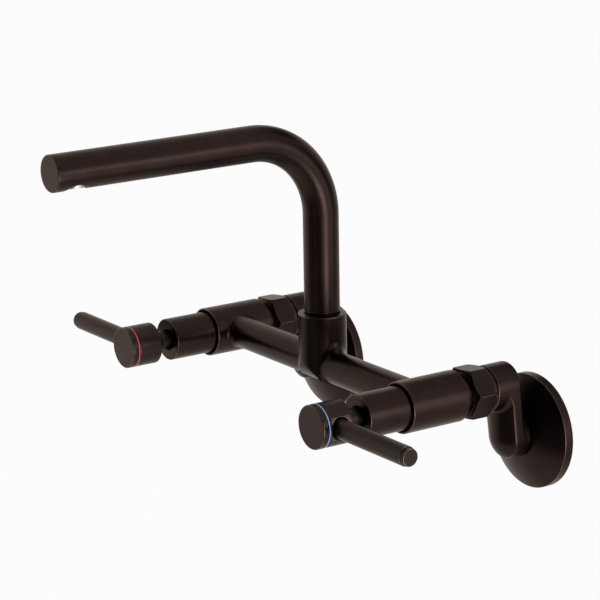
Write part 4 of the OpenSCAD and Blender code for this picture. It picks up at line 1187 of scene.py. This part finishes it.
@dataclass
class SwingArm:
    """One swing arm with its boss, collar and neck, and the wall flange round it."""

    side: Side
    collar_y: float = -39.5
    boss_y: float = -37.3
    boss_r: float = 13.8
    low_r: float = 13.0
    collar_r: float = 12.9
    neck_r: float = 13.0
    neck_end: float = -1.5
    front_edge: tuple[float, float] = (-24.3, -27.4)
    front_top: tuple[float, float] = (-30.3, -31.3)
    rear_edge: tuple[float, float] = (-18.4, -20.9)
    rear_top: tuple[float, float] = (-16.9, -17.1)
    collar_back: float = -30.0
    crown_half: float = 13.2
    crown_widening: float = 0.8
    edge: float = 0.8
    least_edge: float = 0.02
    front_edge_fade: tuple[float, float] = (30.0, 8.0)
    rear_edge_fade: tuple[float, float] = (1.0, 9.0)
    boss_round: float = 0.6
    neck_round: float = 0.4
    collar_round: float = 0.3
    fillet: float = 2.4
    neck_fillet: float = 0.4
    rough_x: float = 7.0
    voxel: float = 0.5
    cut_r: float = 16.0
    stop_groove: tuple[float, float, float] = (12.35, -14.6, -13.2)
    seal_groove: tuple[float, float, float] = (11.73, -12.5, -10.3)
    waterway_r: float = 6.4
    waterway_front: float = -26.0
    thread_r: float = 9.32
    thread_front: float = -13.0
    chamfer_r: float = 11.3
    chamfer_y: float = -2.5
    mouth_y: float = -0.5
    tail_front: float = -41.0
    tail_r: float = 10.25
    tail_seat: float = -30.25
    tail_end: float = -21.0
    flange_r: float = 34.4
    rim: float = 5.6
    hole_r: float = 13.6
    hole_y: float = -13.6
    dome_y: float = 52.8
    wall: float = 1.5
    roll: float = 4.0
    rim_round: float = 0.55
    hole_round: float = 0.5
    roll_round: float = 0.3

    def distance(self, p: np.ndarray) -> np.ndarray:
        """Signed distance from the solid arm, in its own frame with the lower axis at the origin.

        The outline is an uneven capsule between two circles. The front face is a crown: at each height a
        circular arc through the two edges of the outline and a top line, and edges and top line both lean
        towards the wall as they go down. Only the boss stands out in front of it, and only the neck behind
        the rear face, each joined by a rolling-ball fillet. Outline and faces meet in soft edges.

        Args:
            p: Points, in millimetres.

        Returns:
            The distance, below zero inside.
        """
        x, y, z = np.abs(p[:, 0]), p[:, 1], p[:, 2]
        h = LAYOUT.arm_offset
        slant = (self.boss_r - self.low_r) / h
        spread = math.sqrt(1 - slant * slant)
        along = z * spread + x * slant
        side = x * spread - z * slant - self.low_r
        outline = np.where(along < 0, np.hypot(x, z) - self.low_r, side)
        outline = np.where(along > h * spread, np.hypot(x, z - h) - self.boss_r, outline)
        front = self._crown(x, -y, z, [-v for v in self.front_edge], [-v for v in self.front_top], 0.0, -1)
        rear = self._crown(x, y, z, list(self.rear_edge), list(self.rear_top), h, 1)
        front = softer_of(front, np.hypot(x, z - h) - self.boss_r, self.fillet)
        rear = softer_of(rear, np.hypot(x, z) - self.neck_r, self.neck_fillet)
        (fade_z, fade), (rise_z, rise) = self.front_edge_fade, self.rear_edge_fade
        low = self.edge * np.clip((fade_z - z) / fade, self.least_edge, 1)
        high = self.edge * np.clip((z - rise_z) / rise, self.least_edge, 1)
        solid = np.maximum(softer_both(outline, front, low), softer_both(outline, rear, high))
        solid = softer_both(solid, self.boss_y - y, self.boss_round)
        solid = softer_both(solid, y - self.neck_end, self.neck_round)
        ends = np.maximum(self.collar_y - y, y - self.collar_back)
        collar = softer_both(np.hypot(x, z - h) - self.collar_r, ends, self.collar_round)
        return np.minimum(solid, collar)

    def _crown(
        self,
        x: np.ndarray,
        y: np.ndarray,
        z: np.ndarray,
        edge: list[float],
        top: list[float],
        end: float,
        way: int,
    ) -> np.ndarray:
        """Field of a crowned face that rises towards y.

        Args:
            x: Distance from the arm's middle plane.
            y: Place along the face's rise.
            z: Height above the lower axis.
            edge: Where the face meets the outline, below and above.
            top: Its top line, below and above.
            end: Height beyond which the crown closes like a ball.
            way: 1 if that is at the upper end, -1 if at the lower one.

        Returns:
            The field, below zero inside.
        """
        k = np.clip(z / LAYOUT.arm_offset, 0, 1)
        low = edge[0] + (edge[1] - edge[0]) * k
        high = top[0] + (top[1] - top[0]) * k
        half = self.crown_half + self.crown_widening * k
        rise = high - low
        ball = (half**2 + rise**2) / (2 * rise)
        beyond = np.maximum(way * (z - end), 0)
        return np.sqrt(x**2 + (y - high + ball) ** 2 + beyond**2) - ball

    def settle(self, p: np.ndarray, rounds: int = 6) -> np.ndarray:
        """Moves points along the distance field's slope onto the arm's surface.

        Args:
            p: Points near the surface.
            rounds: How many Newton steps.

        Returns:
            Points on the surface.
        """
        step = 0.02
        for _ in range(rounds):
            value = self.distance(p)
            slope = np.stack(
                [self.distance(p + step * e) - self.distance(p - step * e) for e in np.eye(3)], -1
            ) / (2 * step)
            size = np.maximum((slope**2).sum(-1), 0.3)
            p = p - (np.clip(value, -0.5, 0.5) / size)[:, None] * slope
        return p

    def to_frame(self, grid: np.ndarray) -> np.ndarray:
        """Turns points of the arm's own frame by the arm's tilt and moves them to the inlet."""
        tilt = -self.side.value * LAYOUT.arm_tilt
        x = grid[..., 0] * math.cos(tilt) + grid[..., 2] * math.sin(tilt)
        z = -grid[..., 0] * math.sin(tilt) + grid[..., 2] * math.cos(tilt)
        return np.stack([x + self.side.value * LAYOUT.inlet_x, grid[..., 1], z], -1)

    def rough_arm(self) -> bpy.types.Object:
        """Even quads close to the arm's surface, from overlapping bars remeshed together."""
        h = LAYOUT.arm_offset
        boss, low = self.boss_r, self.low_r
        upper_bar = [
            (0, self.boss_y), (boss, self.boss_y),
            (boss, self.rear_edge[1]), (self.rough_x, self.rear_top[1] - 0.8),
            (0, self.rear_top[1]),
        ]
        collar_bar = [
            (0, self.collar_y), (self.collar_r, self.collar_y),
            (self.collar_r, self.collar_back), (0, self.collar_back),
        ]
        lower_bar = [
            (0, self.front_top[0]), (self.rough_x, self.front_top[0] + 1.4),
            (low, self.front_edge[0]), (low, self.neck_end),
            (0, self.neck_end),
        ]
        shells = Shells()
        for points, z in ((upper_bar, h), (collar_bar, h), (lower_bar, 0.0)):
            shells.add(turned_y(np.array(points, float), 0.0, z, HOLE_STEPS))
        k = np.linspace(0, 1, 24)[:, None]
        x = np.array([-1, -0.95, -0.5, 0, 0.5, 0.95, 1, 1, 0.95, 0.5, 0, -0.5, -0.95, -1])[None, :]
        faces = []
        for edge, top in ((self.front_edge, self.front_top), (self.rear_edge, self.rear_top)):
            at_edge = edge[0] + (edge[1] - edge[0]) * k
            at_top = top[0] + (top[1] - top[0]) * k
            faces.append(at_edge + (1 - x**2) * (at_top - at_edge))
        y = np.where(np.arange(14)[None, :] < 7, faces[0], faces[1])
        web = np.stack([x * (low + (boss - low) * k), y, h * k + 0 * x], -1)
        middle = np.array([0.0, -22.0, 0.0])
        shells.add(np.concatenate([
            np.tile(middle, (1, 14, 1)), web, np.tile(middle + [0, 0, h], (1, 14, 1))
        ]))
        obj = shells.object(f"{self.side.word}_arm_casting")
        remesh = obj.modifiers.new("remesh", "REMESH")
        remesh.mode = "VOXEL"
        remesh.voxel_size = self.voxel * MM
        bake_modifiers(obj)
        return obj

    def ring_cut(self, r: float, front: float, back: float) -> np.ndarray:
        """Profile of a groove cut from outside down to a radius, between two places along the axis.

        Args:
            r: Radius of its bottom.
            front: Its front side.
            back: Its back side.

        Returns:
            The closed profile, with the bottom's two corners rounded.
        """
        out = self.cut_r
        return rounded_profile(
            [Corner(r, front, CRISP), Corner(out, front), Corner(out, back), Corner(r, back, CRISP)], True
        )

    def build_arm(self, finishes: Finishes) -> None:
        """Makes the arm: remeshed quads settled on the distance field, then drilled for tail and inlet."""
        obj = self.rough_arm()
        p = self.settle(coordinates(obj.data).astype(float) / MM)
        obj.data.vertices.foreach_set("co", (self.to_frame(p) * MM).reshape(-1))
        obj.data.update()
        h = LAYOUT.arm_offset
        inlet = np.array([
            (0, self.waterway_front), (self.waterway_r, self.waterway_front),
            (self.waterway_r, self.thread_front), (self.thread_r, self.thread_front),
            (self.thread_r, self.chamfer_y), (self.chamfer_r, self.mouth_y),
            (0, self.mouth_y),
        ])
        tail = np.array([
            (0, self.tail_front), (self.tail_r, self.tail_front),
            (self.tail_r, self.tail_seat), (self.waterway_r, self.tail_seat),
            (self.waterway_r, self.tail_end), (0, self.tail_end),
        ])
        grooves = [self.ring_cut(*self.stop_groove), self.ring_cut(*self.seal_groove)]
        cuts = [(groove, 0.0, True) for groove in grooves] + [(inlet, 0.0, False), (tail, h, False)]
        for profile, z, ring in cuts:
            drill(obj, self.to_frame(turned_y(profile, 0.0, z, HOLE_STEPS)), ring)
        smooth(obj, 40.0)
        fit(obj, Slot.ARM, f"{self.side.word}_arm", [f"{self.side.word}_swing_arm"], finishes)

    def build_flange(self, finishes: Finishes, steps: int = 30) -> None:
        """Makes the wall flange: a rim band and a domed face, rolled inwards round its hole.

        The dome is a ball centred behind the wall, so at distance r from the axis its depth is the root of
        the ball's radius squared less r squared, less the centre's distance behind the wall.

        Args:
            finishes: The finishes.
            steps: Points of the dome's profile.
        """
        ball = math.hypot(self.flange_r, self.rim + self.dome_y)
        r = np.linspace(self.flange_r, self.hole_r, steps)
        outer = np.stack([r, self.dome_y - np.sqrt(ball**2 - r**2)], -1)
        inner_ball = ball - self.wall
        r = np.linspace(self.hole_r + self.wall, self.flange_r - self.wall, steps)
        inner = np.stack([r, self.dome_y - np.sqrt(inner_ball**2 - r**2)], -1)
        soft = self.roll_round
        rounds = [self.rim_round] + [0.0] * (steps - 2) + [self.hole_round]
        roll = self.hole_y + self.roll
        corners = [Corner(self.flange_r, 0.0, soft)]
        corners += [Corner(float(a), float(b), s) for (a, b), s in zip(outer, rounds)]
        corners += [Corner(self.hole_r, roll, soft), Corner(self.hole_r + self.wall, roll, soft)]
        corners += [Corner(float(a), float(b)) for a, b in inner]
        corners += [Corner(self.flange_r - self.wall, 0.0, soft)]
        grid = self.to_frame(turned_y(rounded_profile(corners, True), 0.0, 0.0, 192))
        obj = Shells().add(grid, True).object(f"{self.side.word}_flange_dish")
        fit(obj, Slot.FLANGE, f"{self.side.word}_flange", [f"{self.side.word}_wall_flange"], finishes)

    def build(self, finishes: Finishes) -> None:
        """Makes the arm and its flange."""
        self.build_arm(finishes)
        self.build_flange(finishes)


@dataclass(frozen=True)
class InnerParts:
    """The small parts that keep their CAD meshes and get a finish of their own."""

    slots: tuple[tuple[str, Slot], ...] = (
        ("spout_shank", Slot.BRASS), ("spout_o_rings", Slot.RUBBER), ("spout_glide_ring", Slot.PLASTIC),
        ("spout_set_screw", Slot.STEEL), ("outlet_bush", Slot.BRASS), ("aerator_shell", Slot.STEEL),
        ("aerator_insert", Slot.INSERT), ("aerator_washer", Slot.RUBBER),
    )
    per_side: tuple[tuple[str, Slot], ...] = (
        ("cartridge_body", Slot.BRASS), ("cartridge_stem", Slot.BRASS), ("moving_disc", Slot.CERAMIC),
        ("fixed_disc", Slot.CERAMIC), ("seat_seal", Slot.RUBBER), ("stem_o_ring", Slot.RUBBER),
        ("handle_screw", Slot.STEEL), ("union_washer", Slot.RUBBER), ("union_tail", Slot.BRASS),
        ("flange_o_ring", Slot.RUBBER),
    )

    def build(self, finishes: Finishes) -> None:
        """Dresses every kept node."""
        names = list(self.slots) + [(f"{s.word}_{n}", m) for s in Side for n, m in self.per_side]
        for name, slot in names:
            finishes.dress(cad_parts[name], slot)
        LOG.info("kept %d inner nodes", len(names))


@dataclass(frozen=True)
class Flag:
    """A dark card.

    Args:
        name: Its name.
        azimuth: Direction from the faucet, in degrees from x towards y.
        elevation: Angle above the horizontal, in degrees.
        size: Width and height in metres.
        reach: Distance in metres.
    """

    name: str
    azimuth: float
    elevation: float
    size: tuple[float, float]
    reach: float = 1.7

    def corners(self) -> tuple[tuple[float, float, float], ...]:
        """Its corners in its own plane."""
        w, h = self.size[0] / 2, self.size[1] / 2
        return (-w, -h, 0), (w, -h, 0), (w, h, 0), (-w, h, 0)

    def way(self) -> Vector:
        """Direction to it."""
        a, e = math.radians(self.azimuth), math.radians(self.elevation)
        return Vector((math.cos(e) * math.cos(a), math.cos(e) * math.sin(a), math.sin(e)))


@dataclass(frozen=True)
class SoftBox(Flag):
    """A soft box.

    Args:
        glow: Radiance of its face.
    """

    reach: float = 1.3
    glow: float = 1.0


@dataclass
class Studio:
    """Floor, light and camera."""

    floor_z: float = -0.42
    floor_half: float = 9.0
    floor_tone: float = 0.86
    floor_glow: float = 0.93
    fill: float = 0.7
    card_tone: float = 0.03
    eye: tuple[float, float, float] = (1.19895, -0.90983, 0.45426)
    right: tuple[float, float, float] = (0.55436, 0.83204, -0.02)
    up: tuple[float, float, float] = (-0.20097, 0.15714, 0.96691)
    back: tuple[float, float, float] = (0.80765, -0.532, 0.25432)
    focal_px: float = 2514.39
    shift: tuple[float, float] = (0.05646, -0.00054)
    frame_px: float = 600.0
    middle: Vector = field(default_factory=lambda: Vector((0.0, -0.11, 0.07)))
    boxes: tuple[SoftBox, ...] = (
        SoftBox("side_low", -1.0, -19.0, (0.25, 0.30), 0.75, glow=8.5),
        SoftBox("side_high", -12.0, 21.0, (0.36, 0.18), glow=2.2),
        SoftBox("rear_box", 22.0, 7.0, (0.28, 0.26), glow=5.0),
        SoftBox("rear_strip", 34.0, 4.0, (0.18, 0.72), glow=2.6),
        SoftBox("front_low", -153.0, -5.0, (0.84, 0.8), glow=0.35),
    )
    flags: tuple[Flag, ...] = (
        Flag("left_card", -96.0, 12.0, (1.4, 1.9)),
        Flag("front_card", -50.0, 12.0, (1.4, 1.9)),
        Flag("right_card", -8.0, 33.0, (1.1, 1.1)),
        Flag("rear_card", 60.0, 6.0, (0.8, 1.0)),
        Flag("upper_card", -90.0, 66.0, (2.6, 1.2)),
        Flag("back_card", 100.0, 38.0, (1.6, 0.7)),
        Flag("low_front_card", -80.0, -31.0, (1.3, 0.3), 0.78),
        Flag("low_side_card", -12.0, -31.0, (0.5, 0.24), 0.78),
        Flag("low_back_card", 90.0, -31.0, (0.9, 0.3), 0.78),
    )

    def build_camera(self) -> None:
        """Places the camera at the photograph's viewing angle, with the frame's 600 pixels across."""
        data = bpy.data.cameras.new("camera")
        data.sensor_width = 36.0
        data.lens = self.focal_px / self.frame_px * data.sensor_width
        data.shift_x, data.shift_y = self.shift
        data.clip_start, data.clip_end = 0.05, 60.0
        cam = linked("camera", data)
        turn = Matrix((self.right, self.up, self.back)).transposed().to_4x4()
        cam.matrix_world = Matrix.Translation(self.eye) @ turn
        bpy.context.scene.camera = cam

    def build_world(self) -> None:
        """White surroundings: full white to the camera and to gloss, softer as a light."""
        world = bpy.data.worlds.new("studio")
        bpy.context.scene.world = world
        world.use_nodes = True
        n = Nodes(world.node_tree)
        shown = self.shown(n)
        back = world.node_tree.nodes["Background"]
        n.feed(back, "Color", (1.0, 1.0, 1.0, 1.0))
        n.feed(back, "Strength", n.between(shown, self.fill, 1.0))

    @staticmethod
    def shown(n: Nodes) -> bpy.types.NodeSocket:
        """1 for camera, glossy and transmission rays, otherwise 0."""
        rays = n.new("ShaderNodeLightPath").outputs
        either = n.calc("MAXIMUM", rays["Is Camera Ray"], rays["Is Glossy Ray"])
        return n.calc("MAXIMUM", either, rays["Is Transmission Ray"])

    def build_floor(self) -> None:
        """A plain pale floor below the faucet, which stays white in view and takes its soft shadow."""
        h, z = self.floor_half, self.floor_z
        floor = self.quad("floor", [(-h, -h, z), (h, -h, z), (h, h, z), (-h, h, z)])
        mat, n, shader = new_material("floor")
        n.feed(shader, "Base Color", (*[self.floor_tone] * 3, 1.0))
        n.feed(shader, "Roughness", 0.9)
        n.feed(shader, "Specular IOR Level", 0.1)
        glow = n.new("ShaderNodeEmission", Color=(1.0, 1.0, 1.0, 1.0), Strength=1.0)
        mix = n.new("ShaderNodeMixShader")
        n.feed(mix, 0, n.between(self.shown(n), 0.0, self.floor_glow))
        n.feed(mix, 1, shader.outputs[0])
        n.feed(mix, 2, glow.outputs[0])
        n.feed(mat.node_tree.nodes["Material Output"], "Surface", mix.outputs[0])
        floor.data.materials.append(mat)

    @staticmethod
    def quad(name: str, corners: list) -> bpy.types.Object:
        """Makes a rectangle from its four corners."""
        mesh = bpy.data.meshes.new(name)
        mesh.from_pydata(corners, [], [(0, 1, 2, 3)])
        return linked(name, mesh)

    def spot(self, flag: Flag) -> tuple[Vector, Matrix]:
        """Place of a card or soft box round the faucet, and the turn that faces the faucet's middle."""
        way = flag.way()
        return self.middle + flag.reach * way, (-way).to_track_quat("-Z", "Y").to_matrix()

    def lamp(self, box: SoftBox) -> None:
        """A soft box that faces the faucet."""
        data = bpy.data.lights.new(box.name, "AREA")
        data.shape = "RECTANGLE"
        data.size, data.size_y = box.size
        data.energy = box.glow * math.pi * box.size[0] * box.size[1]
        place, turn = self.spot(box)
        linked(box.name, data).matrix_world = Matrix.Translation(place) @ turn.to_4x4()

    def card(self, flag: Flag) -> None:
        """A dark studio card that only gloss sees, which gives the metal its darker sides."""
        place, turn = self.spot(flag)
        card = self.quad(flag.name, [place + turn @ Vector(c) for c in flag.corners()])
        mat, n, shader = new_material(flag.name)
        n.feed(shader, "Base Color", (*[self.card_tone] * 3, 1.0))
        n.feed(shader, "Roughness", 0.9)
        card.data.materials.append(mat)
        card.visible_camera = False
        card.visible_diffuse = False
        card.visible_shadow = False

    def build(self) -> None:
        """Builds the studio."""
        self.build_camera()
        self.build_world()
        self.build_floor()
        for box in self.boxes:
            self.lamp(box)
        for flag in self.flags:
            self.card(flag)
        view = bpy.context.scene.view_settings
        view.view_transform = "Standard"


def main() -> None:
    """Builds the faucet's pieces in order, then the studio."""
    logging.basicConfig(level=logging.INFO, format="%(name)s: %(message)s")
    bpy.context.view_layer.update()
    finishes = Finishes().build()
    Bridge().build(finishes)
    Spout().build(finishes)
    for side in Side:
        Valve(side).build(finishes)
        SwingArm(side).build(finishes)
    InnerParts().build(finishes)
    Studio().build()


if __name__ == "__main__":
    main()
